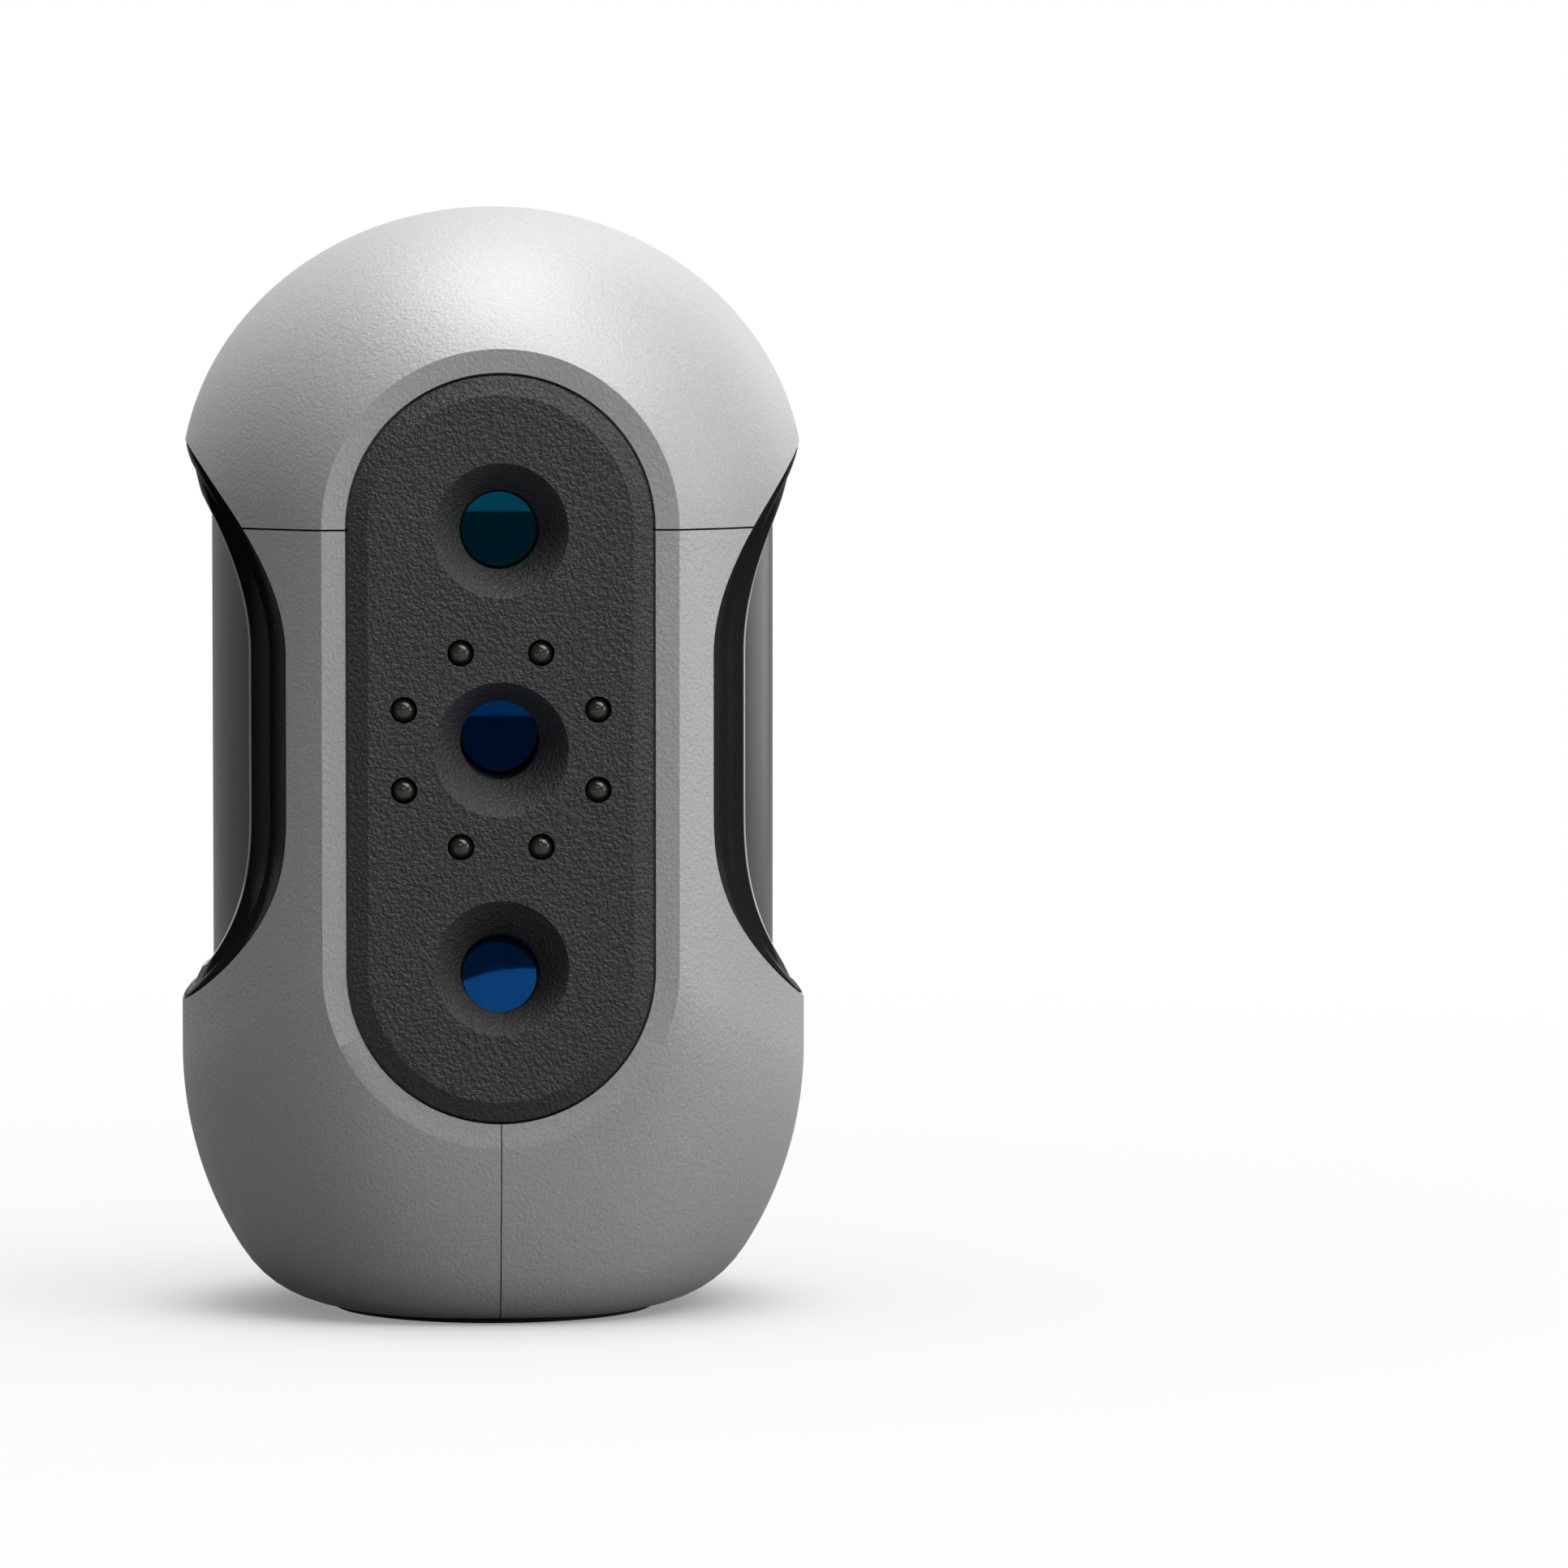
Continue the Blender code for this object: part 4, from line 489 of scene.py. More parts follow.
def turn_at_height(y, depth, height, late):
    """The turn at which the lower arc comes down to a height, at the latest late."""
    early = 0.0
    for _ in range(TURN_SEARCH_STEPS):
        middle = (early + late) / 2
        if loft_point(y, depth, (math.cos(middle), -math.sin(middle), 1.0))[1] > height:
            early = middle
        else:
            late = middle
    return late


def body_section(y, depth, floor):
    """The body's section at y and a depth under its skin, on a flat floor."""
    steep = turn_at_height(y, depth, floor + BASE_FILLET, STEEPEST_TURN)
    flat = turn_at_height(y, depth, floor - BASE_FILLET, FLATTEST_TURN)
    points = []
    for direction in rim_directions(steep, flat):
        x, z = loft_point(y, depth, direction)
        points.append((x, y, above_floor(z, floor)))
    return points


def side_reach(y, z, depth):
    """The half width of the body at a place."""
    half_width, upper, rise, lower, drop = shape_at(y, depth)
    if z > upper:
        return half_width * math.sqrt(max(0.0, 1.0 - ((z - upper) / rise) ** 2))
    if z < lower:
        return half_width * math.sqrt(max(0.0, 1.0 - ((lower - z) / drop) ** 2))
    return half_width


def body_stations(depth, steps, front_limit=None):
    """Places of the sections from front to back, denser at both ends."""
    front = [-(FRONT_DEPTH - depth) * share for share in reversed(quarter_shares(steps))]
    back = [(BACK_DEPTH - depth) * share for share in quarter_shares(steps)[1:]]
    stations = front + back
    if front_limit is not None:
        stations = [front_limit] + [y for y in stations if y > front_limit + WALL / 2]
    return stations


def loop_arc(reach, top, low):
    """A grip loop seen from the side, from its top forward and down to its low end."""
    points = []
    for turn in quarter(TRIM_STEPS):
        rise = math.cos(turn) * (top - GRIP_UPPER_TURN)
        points.append((-reach * math.sin(turn), GRIP_UPPER_TURN + rise))
    for step in range(1, SIDE_STEPS):
        points.append((-reach, blend(GRIP_UPPER_TURN, GRIP_LOWER_TURN, step / SIDE_STEPS)))
    for turn in quarter(TRIM_STEPS):
        drop = math.sin(turn) ** (2.0 / GRIP_LOWER_FULLNESS_SHARE)
        drop *= GRIP_LOWER_TURN - low
        points.append((-reach * math.cos(turn), GRIP_LOWER_TURN - drop))
    return points


# Casing


def liner_sections(inward, steps):
    """The room inside the casing, made smaller all round by a distance."""
    depth = WALL + inward
    stations = body_stations(depth, steps, SEAT_BACK + inward)
    return [body_section(y, depth, CASING_FLOOR + inward) for y in stations]


def casing_shell():
    """The whole casing as one skin: outside, countersunk ring, seat and inside."""
    opening = inset(PANEL, -GAP)
    seat = inset(opening, SEAT_WIDTH)
    stations = reversed(body_stations(0.0, SHELL_STEPS))
    outer = [body_section(y, 0.0, FOOT_PROUD) for y in stations]
    ring = [
        flat_section(opening, RING_FLOOR),
        flat_section(opening, SEAT_FRONT),
        flat_section(seat, SEAT_FRONT),
        flat_section(seat, SEAT_BACK),
    ]
    return loft("casing_shell", outer + ring + liner_sections(0.0, LINER_STEPS))


def grip_void():
    """What the grip loops take out of the casing, on both sides of its front spine."""
    void = side_prism(EDGE_REACH + GAP, EDGE_TOP + GAP, EDGE_LOW - GAP)
    front = -FRONT_DEPTH - OVERRUN
    spine = box_tool((-SPINE_HALF_WIDTH, front, 0.0), (SPINE_HALF_WIDTH, -SPINE_BACK, HEIGHT))
    return cut(void, spine)


def cover_region(name):
    """The box that one cover takes up, between the seams."""
    wide = HALF_WIDTH + OVERRUN
    deep = BACK_DEPTH + OVERRUN
    top = HEIGHT + OVERRUN
    above = SEAM_HEIGHT + LEVEL_SEAM / 2
    below = SEAM_HEIGHT - LEVEL_SEAM / 2
    side = UPRIGHT_SEAM / 2
    corners = {
        "top_cover": ((-wide, -deep, above), (wide, deep, top)),
        "left_cover": ((-wide, -deep, 0.0), (-side, deep, below)),
        "right_cover": ((side, -deep, 0.0), (wide, deep, below)),
    }
    return box_tool(*corners[name])


def profile_slope(start, end, power=1.0):
    """Points from start to end of a slope, without the first."""
    points = []
    for step in range(1, TRIM_SLOPE_STEPS + 1):
        share = step / TRIM_SLOPE_STEPS
        depth = blend(start[1], end[1], share**power)
        points.append((blend(start[0], end[0], share), depth))
    return points


def trim_profile():
    """Shares of the way from the casing's edge to the column, each with its depth."""
    under = COLUMN_DEPTH - GAP
    bead_end = blend(TRIM_BEAD_DEPTH, under, TRIM_BEAD_END_SHARE)
    edge = (0.0, TRIM_EDGE_DEPTH)
    step = (TRIM_STEP_SHARE, TRIM_STEP_DEPTH)
    step_end = (TRIM_STEP_END_SHARE, TRIM_STEP_DEPTH + TRIM_STEP_DROP)
    painted_highlight_bead = (TRIM_BEAD_SHARE, TRIM_BEAD_DEPTH)
    crest = blend(TRIM_BEAD_SHARE, 1.0, TRIM_BEAD_CREST_SHARE)
    profile = [edge, *profile_slope(edge, step, TRIM_STEP_CURVE_SHARE)]
    profile += [step_end, *profile_slope(step_end, painted_highlight_bead)]
    profile += [
        (crest, blend(TRIM_BEAD_DEPTH, bead_end, TRIM_BEAD_SAG_SHARE)),
        (1.0, bead_end),
        (1.0, under),
        (TRIM_LINER_SHARE, under),
        (TRIM_LINER_SHARE / 2, blend(TRIM_LINER_EDGE_DEPTH, under, 0.5)),
        (0.0, TRIM_LINER_EDGE_DEPTH),
    ]
    return profile


# The bead's start and crest are the two points before the last five; the strip between them is
# painted light grey as a highlight line
TRIM_PROFILE = trim_profile()
PAINTED_HIGHLIGHT_PLACES = (len(TRIM_PROFILE) - 7, len(TRIM_PROFILE) - 6)


def trim_section(kind, place, side):
    """One section: at a point of the front loop, or at a share of the way to the back.

    A share over 1 on a face runs on across the back, and 2 ends at the middle.
    """
    points = []
    for share, depth in TRIM_PROFILE:
        reach = blend(EDGE_REACH, COLUMN_REACH, share)
        top = blend(EDGE_TOP, COLUMN_TOP, share)
        low = blend(EDGE_LOW, COLUMN_LOW, share)
        if kind == "front":
            y, z = loop_arc(reach, top, low)[place]
            x = side_reach(y, z, depth)
        else:
            z = top if kind.startswith("top") else low
            y = (BACK_DEPTH - depth) * min(1.0, place)
            x = side_reach(y, z, depth)
            if kind.endswith("face"):
                x = blend(x, GAP / 2, place - 1.0)
        points.append((side * x, y, z))
    return points


def grip_trim(name, side):
    """A trim swept along the loop, with its bead strip marked for a painted highlight line in the
    material.
    """
    front_count = len(loop_arc(EDGE_REACH, EDGE_TOP, EDGE_LOW))
    wrap = quarter_shares(TRIM_WRAP_STEPS)[1:]
    path = [("top_face", 2.0)]
    path += [("top", share) for share in reversed(wrap)]
    path += [("front", place) for place in range(front_count)]
    path += [("low", share) for share in wrap]
    path += [("low_face", 2.0)]
    trim = loft(name, [trim_section(k, p, side) for k, p in path], triangles=False)
    # Marks the bead's start and crest, where the material paints a highlight line
    painted_highlight_bead = trim.data.attributes.new("painted_highlight_bead", "FLOAT", "POINT")
    for index, point in enumerate(painted_highlight_bead.data):
        point.value = float(index % len(TRIM_PROFILE) in PAINTED_HIGHLIGHT_PLACES)
    return smooth(trim)


def column_solid(depth, steps):
    """The whole body at a depth under its skin."""
    stations = body_stations(depth, steps)
    return loft("column", [body_section(y, depth, CASING_FLOOR) for y in stations])


def side_prism(reach, top, low):
    """Everything behind a grip loop, as a solid across the width."""
    back = BACK_DEPTH + OVERRUN
    outline = [*loop_arc(reach, top, low), (back, low), (back, top)]
    tool = prism("side", outline, 2 * (HALF_WIDTH + OVERRUN))
    tool.rotation_euler = (math.pi / 2, 0.0, math.pi / 2)
    return tool


# Materials

PEBBLE_CELLS = 2300.0
SILVER_GRAIN_CELLS = 3600.0
WRINKLE_CELLS = 2600.0
LEATHER_SWELL_CELLS = 620.0
LEATHER_GRAIN_CELLS = 4200.0
DUST_CELLS = 1800.0
FINE_CELLS = 2400.0
TRIM_WAVE_CELLS = 120.0
CLOUD_CELLS = 60.0
RUBBER_CELLS = 1500.0
MOULDING_CELLS = 2200.0
DRIFT_CELLS = 160.0
DIE_CELLS = 900.0
CAST_CELLS = 1200.0
PLATED_CELLS = 800.0
TRACK_CELLS = 420.0
FLOOR_CLOUD_CELLS = 4.0
SILVER_BUMP = 0.00006
LEATHER_BUMP = 0.00012
WAVE_BUMP = 0.0001
RUBBER_BUMP = 0.0001
MOULDING_BUMP = 0.00006
METAL_BUMP = 0.00005
# Painted highlight: the light grey colour of the trims' bead strip
PAINTED_HIGHLIGHT_GREY = (0.85, 0.85, 0.85, 1.0)
WHITE = (1.0, 1.0, 1.0, 1.0)
METAL_TONE_SHARES = (0.9, 1.05)
METAL_POLISH_SHARES = (0.85, 1.2)
GLASS_DRIFT_SHARE = 0.8
WARM_DIE = ((0.030, 0.029, 0.020), (0.075, 0.072, 0.052))
BOARD_GREENS = ((0.01, 0.07, 0.03), (0.02, 0.14, 0.06))
INNER_GLASS_TINT = (0.008, 0.18, 0.62)
WINDOW_GLASS = {
    "upper": ("teal_glass", (0.001, 0.230, 0.400), 0.85),
    "middle": ("navy_glass", (0.001, 0.100, 0.400), 0.85),
    "lower": ("blue_glass", (0.005, 0.062, 0.220), 0.65),
}


class Nodes:
    """Adds nodes to one tree and feeds their inputs."""

    def __init__(self, tree):
        self.tree = tree
        self.shader = tree.nodes.get("Principled BSDF")

    def feed(self, socket, value):
        """Links an output to the socket, or sets a plain value."""
        if isinstance(value, bpy.types.NodeSocket):
            self.tree.links.new(value, socket)
        else:
            socket.default_value = value

    def add(self, kind, inputs=None, **settings):
        node = self.tree.nodes.new(kind)
        for key, value in settings.items():
            setattr(node, key, value)
        for key, value in (inputs or {}).items():
            self.feed(node.inputs[key], value)
        return node

    def set(self, **values):
        """Feeds the inputs of the main shader."""
        for key, value in values.items():
            self.feed(self.shader.inputs[key.replace("_", " ")], value)

    def math(self, operation, *values):
        return self.add("ShaderNodeMath", dict(enumerate(values)), operation=operation).outputs[0]

    def position(self):
        return self.add("ShaderNodeTexCoord").outputs["Object"]

    def noise(self, scale, detail=3.0, roughness=0.5, distortion=0.0):
        values = {"Vector": self.position(), "Scale": scale, "Detail": detail}
        values |= {"Roughness": roughness, "Distortion": distortion}
        return self.add("ShaderNodeTexNoise", values).outputs["Fac"]

    def ramp(self, source, low, high, start=0.0, end=1.0, kind="LINEAR"):
        """Maps the values from start to end to the values from low to high."""
        values = {"Value": source, "From Min": start, "From Max": end}
        values |= {"To Min": low, "To Max": high}
        node = self.add("ShaderNodeMapRange", values, interpolation_type=kind)
        return node.outputs["Result"]

    def colours(self, source, *stops):
        """A colour ramp through pairs of a place and a colour."""
        node = self.add("ShaderNodeValToRGB", {"Fac": source})
        elements = node.color_ramp.elements
        elements[0].position, elements[0].color = stops[0][0], (*stops[0][1], 1.0)
        elements[1].position, elements[1].color = stops[-1][0], (*stops[-1][1], 1.0)
        for place, colour in stops[1:-1]:
            elements.new(place).color = (*colour, 1.0)
        return node.outputs["Color"]

    def greys(self, source, *stops):
        """A colour ramp through pairs of a place and a grey."""
        return self.colours(source, *((place, (value,) * 3) for place, value in stops))

    def mix(self, share, first, second):
        values = {"Factor": share, "A": first, "B": second}
        return self.add("ShaderNodeMix", values, data_type="RGBA").outputs["Result"]

    def mix_shaders(self, share, first, second):
        return self.add("ShaderNodeMixShader", {0: share, 1: first, 2: second}).outputs[0]

    def bump(self, height, depth, strength=1.0):
        values = {"Height": height, "Distance": depth, "Strength": strength}
        return self.add("ShaderNodeBump", values).outputs["Normal"]

    def rays(self, shares):
        """The share that each kind of ray is given here, and 0 for the rest."""
        path = self.add("ShaderNodeLightPath")
        total = 0.0
        for kind, share in shares.items():
            total = self.math("MULTIPLY_ADD", path.outputs[kind], share, total)
        return total


def new_material(name):
    made = bpy.data.materials.new(name)
    made.use_nodes = True
    return made, Nodes(made.node_tree)


def silver_material():
    """Satin silver paint on fine-grained plastic."""
    made, nodes = new_material("satin_silver")
    pebble = nodes.noise(PEBBLE_CELLS, detail=1.5, distortion=0.5)
    grain = nodes.noise(SILVER_GRAIN_CELLS, detail=2.0, roughness=0.6)
    cloud = nodes.noise(CLOUD_CELLS, detail=2.0)
    speckle = nodes.greys(grain, (0.3, 0.55), (0.7, 0.73))
    shade = nodes.greys(cloud, (0.3, 0.62), (0.7, 0.66))
    height = nodes.math("MULTIPLY_ADD", grain, 0.5, pebble)
    nodes.set(
        Base_Color=nodes.mix(0.35, speckle, shade),
        Roughness=nodes.ramp(grain, 0.42, 0.54, start=0.3, end=0.7),
        Metallic=0.2,
        Normal=nodes.bump(height, SILVER_BUMP),
    )
    return made


def gloss_black_material():
    """Polished black plastic with faint waves and dust; its bead strip is painted light grey as a
    highlight line.
    """
    made, nodes = new_material("gloss_black")
    wave = nodes.noise(TRIM_WAVE_CELLS, detail=1.0, roughness=0.4)
    dust = nodes.noise(DUST_CELLS, detail=2.0, roughness=0.6)
    painted_highlight_bead = nodes.add("ShaderNodeAttribute", attribute_name="painted_highlight_bead").outputs["Fac"]
    nodes.set(
        # Painted highlight: the bead strip is coloured light grey, the rest of the trim near black
        Base_Color=nodes.mix(painted_highlight_bead, nodes.greys(dust, (0.4, 0.060), (0.8, 0.072)), PAINTED_HIGHLIGHT_GREY),
        Roughness=nodes.ramp(dust, 0.10, 0.16, start=0.35, end=0.75),
        Metallic=nodes.ramp(painted_highlight_bead, 0.6, 0.0),
        Specular_IOR_Level=nodes.ramp(painted_highlight_bead, 0.0, 0.5),
        Specular_Tint=nodes.ramp(painted_highlight_bead, 0.1, 1.0),
        Normal=nodes.bump(wave, WAVE_BUMP, strength=0.03),
    )
    return made


def gloss_grey_material():
    """Smooth dark grey plastic of the grip column."""
    made, nodes = new_material("gloss_grey")
    fine = nodes.noise(FINE_CELLS, detail=2.0, roughness=0.6)
    wave = nodes.noise(CLOUD_CELLS, detail=1.0, roughness=0.4)
    nodes.set(
        Base_Color=nodes.greys(fine, (0.35, 0.078), (0.7, 0.084)),
        Roughness=nodes.ramp(fine, 0.22, 0.25, start=0.35, end=0.7),
        Metallic=0.35,
        Normal=nodes.bump(wave, WAVE_BUMP, strength=0.02),
    )
    return made


def leather_material():
    """Charcoal plastic with a leather grain of short, worm-like wrinkles."""
    made, nodes = new_material("charcoal_grain")
    wrinkle = nodes.noise(WRINKLE_CELLS, detail=1.2, roughness=0.45, distortion=0.5)
    swell = nodes.noise(LEATHER_SWELL_CELLS, detail=2.0)
    fine = nodes.noise(LEATHER_GRAIN_CELLS, detail=2.0, roughness=0.6)
    ridge = nodes.ramp(wrinkle, 0.0, 1.0, start=0.36, end=0.64)
    height = nodes.math("MULTIPLY_ADD", swell, 0.5, ridge)
    height = nodes.math("MULTIPLY_ADD", fine, 0.20, height)
    nodes.set(
        Base_Color=nodes.greys(wrinkle, (0.35, 0.062), (0.65, 0.082)),
        Roughness=nodes.ramp(fine, 0.42, 0.56, start=0.3, end=0.7),
        Specular_IOR_Level=0.4,
        Normal=nodes.bump(height, LEATHER_BUMP),
    )
    return made


def rubber_material():
    made, nodes = new_material("dark_rubber")
    grain = nodes.noise(RUBBER_CELLS, roughness=0.6)
    nodes.set(
        Base_Color=nodes.greys(grain, (0.3, 0.012), (0.7, 0.022)),
        Roughness=nodes.ramp(grain, 0.7, 0.85),
        Normal=nodes.bump(grain, RUBBER_BUMP, strength=0.3),
    )
    return made


def black_material():
    made, nodes = new_material("black_moulding")
    grain = nodes.noise(MOULDING_CELLS, roughness=0.6)
    nodes.set(
        Base_Color=nodes.greys(grain, (0.3, 0.006), (0.7, 0.014)),
        Roughness=nodes.ramp(grain, 0.35, 0.5),
        Normal=nodes.bump(grain, MOULDING_BUMP, strength=0.2),
    )
    return made


def coated_glass_material(name, tint, alpha):
    """Coated glass: the film reflects in its own tint and lets some of the inside show."""
    made, nodes = new_material(name)
    drift = nodes.noise(DRIFT_CELLS, detail=1.0, roughness=0.4)
    deeper = tuple(GLASS_DRIFT_SHARE * part for part in tint)
    nodes.set(
        Base_Color=nodes.colours(drift, (0.3, tint), (0.7, deeper)),
        Metallic=1.0,
        Roughness=nodes.ramp(drift, 0.02, 0.05),
        Alpha=alpha,
    )
    return made


def lamp_material():
    """Clear resin with a warm grey die under it."""
    made, nodes = new_material("clear_resin")
    die = nodes.noise(DIE_CELLS, detail=1.0)
    nodes.set(
        Base_Color=nodes.colours(die, (0.35, WARM_DIE[0]), (0.7, WARM_DIE[1])),
        Roughness=nodes.ramp(die, 0.08, 0.16),
        Coat_Weight=0.5,
        Coat_Roughness=0.05,
    )
    return made


def board_material():
    made, nodes = new_material("circuit_board")
    values = {"Vector": nodes.position(), "Scale": TRACK_CELLS}
    tracks = nodes.add("ShaderNodeTexBrick", values).outputs["Fac"]
    nodes.set(
        Base_Color=nodes.colours(tracks, (0.0, BOARD_GREENS[0]), (1.0, BOARD_GREENS[1])),
        Roughness=nodes.ramp(nodes.noise(DIE_CELLS), 0.35, 0.5),
    )
    return made


def metal_material(name, value, roughness, cells):
    """Bare metal with a fine grain in its tone and polish."""
    made, nodes = new_material(name)
    grain = nodes.noise(cells, roughness=0.6)
    dark, pale = (value * part for part in METAL_TONE_SHARES)
    smoother, rougher = (roughness * part for part in METAL_POLISH_SHARES)
    nodes.set(
        Base_Color=nodes.greys(grain, (0.3, dark), (0.7, pale)),
        Roughness=nodes.ramp(grain, smoother, rougher),
        Metallic=1.0,
        Normal=nodes.bump(grain, METAL_BUMP, strength=0.1),
    )
    return made


MATERIALS = {
    "silver_casing": silver_material(),
    "gloss_black_trim": gloss_black_material(),
    "gloss_grey_grip": gloss_grey_material(),
    "charcoal_panel": leather_material(),
    "dark_rubber": rubber_material(),
    "black_moulding": black_material(),
    "coated_glass": coated_glass_material("inner_glass", INNER_GLASS_TINT, 1.0),
    "clear_lamp": lamp_material(),
    "circuit_board": board_material(),
    "chip_black": black_material(),
    "cast_alloy": metal_material("cast_alloy", 0.55, 0.4, CAST_CELLS),
    "plated_steel": metal_material("plated_steel", 0.6, 0.25, PLATED_CELLS),
}
GLASS = {lens: coated_glass_material(*recipe) for lens, recipe in WINDOW_GLASS.items()}


def dress(piece, slot_name, made=None):
    """Gives the piece its slot's material, or another one."""
    piece.data.materials.clear()
    piece.data.materials.append(made or MATERIALS[slot_name])
    return piece


def stand_in(piece, slot_name, *nodes, body=ROOT, made=None):
    """The piece takes a material, rides on its body and replaces these solids."""
    dress(piece, slot_name, made)
    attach(piece, body)
    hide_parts(*nodes)
    return piece


# Visible pieces


def foot_outline(margin=0.0):
    """The foot's oval, wider all round by a margin and longer in front than behind."""
    steps = 2 * TURN_STEPS
    points = []
    for step in range(steps):
        turn = 2 * math.pi * step / steps
        reach = FOOT_BACK if math.sin(turn) > 0.0 else FOOT_FRONT
        across = (FOOT_HALF_WIDTH + margin) * math.cos(turn)
        points.append((across, (reach + margin) * math.sin(turn)))
    return points


def upright_rod(radius, low, high):
    rod = rod_tool(radius, low, high, (0.0, 0.0, 0.0))
    rod.rotation_euler = (0.0, 0.0, 0.0)
    return rod


def add_socket_seat(cover, name):
    """Thickens the rear wall round the cable socket, then cuts its well and hole."""
    beyond = BACK_DEPTH + OVERRUN
    boss_radius = SOCKET_WELL_RADIUS + SOCKET_BOSS_MARGIN
    boss = rod_tool(boss_radius, SOCKET_BACK_WALL, beyond, SOCKET_PLACE)
    keep_inside(boss, cover_region(name))
    keep_inside(boss, column_solid(WALL / 2, 2 * LINER_STEPS))
    combine(cover, boss, "UNION")
    cut(cover, rod_tool(SOCKET_WELL_RADIUS, SOCKET_FACE, beyond, SOCKET_PLACE))
    start = SOCKET_BACK_WALL - OVERRUN
    cut(cover, rod_tool(SOCKET_RADIUS + GAP, start, BACK_DEPTH, SOCKET_PLACE))


def liner_solid(inward):
    return loft("liner", liner_sections(inward, 2 * LINER_STEPS))


def seam_lip():
    """A thin lip on the right cover that closes the front seam from the inside."""
    wide = LIP_HALF_WIDTH
    front = -FRONT_DEPTH - OVERRUN
    low = CASING_FLOOR - FLOOR_WALL / 2
    lip = box_tool((-wide, front, low), (wide, 0.0, RING_LOW + LIP_RISE))
    keep_inside(lip, liner_solid(-WALL / 2))
    cut(lip, liner_solid(UPRIGHT_SEAM + LIP_THICKNESS))
    room = box_tool((-2 * wide, front, 0.0), (UPRIGHT_SEAM / 2, OVERRUN, 2 * RING_LOW))
    cut(room, liner_solid(UPRIGHT_SEAM))
    return cut(lip, room)


def make_casing():
    """The three silver covers, cut from one shell."""
    shell = casing_shell()
    void = grip_void()
    for name in ("top_cover", "left_cover", "right_cover"):
        cover = new_object(f"{name}_skin", shell.data.copy())
        keep_inside(cover, cover_region(name))
        cut(cover, void, keep_tool=True)
        if name != "top_cover":
            if name == "right_cover":
                combine(cover, seam_lip(), "UNION")
            add_socket_seat(cover, name)
            cut(cover, prism("foot_seat", foot_outline(GAP), 2 * FOOT_SEAT))
            cut(cover, upright_rod(TRIPOD_BOSS_RADIUS + GAP, 0.0, 2 * CASING_FLOOR))
        stand_in(smooth(cover), "silver_casing", name)
    bpy.data.objects.remove(shell)
    bpy.data.objects.remove(void)


def make_trims():
    """The two gloss black trims that line the waist."""
    for name, side in (("left_grip_trim", -1), ("right_grip_trim", 1)):
        stand_in(grip_trim(f"{name}_fine", side), "gloss_black_trim", name)


def make_column():
    """The grip column at the back, with holes for the button and its light."""
    column = column_solid(COLUMN_DEPTH, SHELL_STEPS)
    column.name = "rear_grip_cover_fine"
    cut(column, column_solid(COLUMN_DEPTH + COLUMN_WALL, LINER_STEPS))
    top = EDGE_TOP - COLUMN_TUCK
    low = EDGE_LOW + COLUMN_TUCK
    keep_inside(column, side_prism(COLUMN_TUCK_REACH, top, low))
    start = COLUMN_FACE - COLUMN_WALL - OVERRUN
    end = BACK_DEPTH + OVERRUN
    cut(column, rod_tool(BUTTON_RADIUS + GAP, start, end, BUTTON_PLACE))
    cut(column, rod_tool(LIGHT_RADIUS + GAP, start, end, LIGHT_PLACE, LIGHT_HOLE_STEPS))
    stand_in(smooth(column), "gloss_grey_grip", "rear_grip_cover")


def recess_section(radius, y, z, tilt, phase=0.0):
    """A level circle on the recess's leaning axis, turned by a phase of one facet."""
    centre = z + (y - PANEL_FACE) * math.tan(tilt)
    turns = [2 * math.pi * (step + phase) / TURN_STEPS for step in range(TURN_STEPS)]
    return [(radius * math.cos(turn), y, centre + radius * math.sin(turn)) for turn in turns]


def lens_hollow(z, tilt):
    """The conical recess and its bore, as a cutting tool."""
    sections = [
        recess_section(RECESS_RADIUS + RECESS_SLOPE * GAP, PANEL_FACE - GAP, z, tilt, 0.5),
        recess_section(BORE_RADIUS, BORE_FACE, z, tilt, 0.5),
        recess_section(BORE_RADIUS, CUP_BACK + OVERRUN, z, tilt, 0.5),
    ]
    return loft("hollow", sections)


def lens_cup(z, tilt):
    """The wall round a recess, behind the panel."""
    start = blend(PANEL_FACE, PANEL_BACK, CUP_START_SHARE)
    wide = RECESS_RADIUS - RECESS_SLOPE * (start - PANEL_FACE) + CUP_WALL
    sections = [
        recess_section(wide, start, z, tilt),
        recess_section(BORE_RADIUS + CUP_WALL, CUP_BACK, z, tilt),
    ]
    return loft("cup", sections)


def lamp_places():
    """Across and height of each lamp on its circle."""
    radius = LAMP_CIRCLE_RADIUS
    places = []
    for k in range(LAMP_COUNT):
        turn = 2 * math.pi * (k + 0.5) / LAMP_COUNT
        places.append((radius * math.cos(turn), MIDDLE_LENS_HEIGHT + radius * math.sin(turn)))
    return places


def make_panel():
    """The front panel with its chamfer, recesses and lamp holes."""
    sections = [
        flat_section(PANEL, PANEL_BACK),
        flat_section(PANEL, PANEL_BACK - PANEL_RIM),
        flat_section(inset(PANEL, PANEL_CHAMFER), PANEL_FACE),
    ]
    panel = loft("front_panel_fine", sections)
    for z, tilt in LENSES.values():
        combine(panel, lens_cup(z, tilt), "UNION")
    for z, tilt in LENSES.values():
        cut(panel, lens_hollow(z, tilt))
    start = PANEL_FACE - OVERRUN
    end = PANEL_BACK + OVERRUN
    for x, z in lamp_places():
        cut(panel, rod_tool(LAMP_HOLE_RADIUS, start, end, (x, 0.0, z), SMALL_TURN_STEPS))
    stand_in(smooth(panel, PANEL_SHARP_TURN), "charcoal_panel", "front_panel")


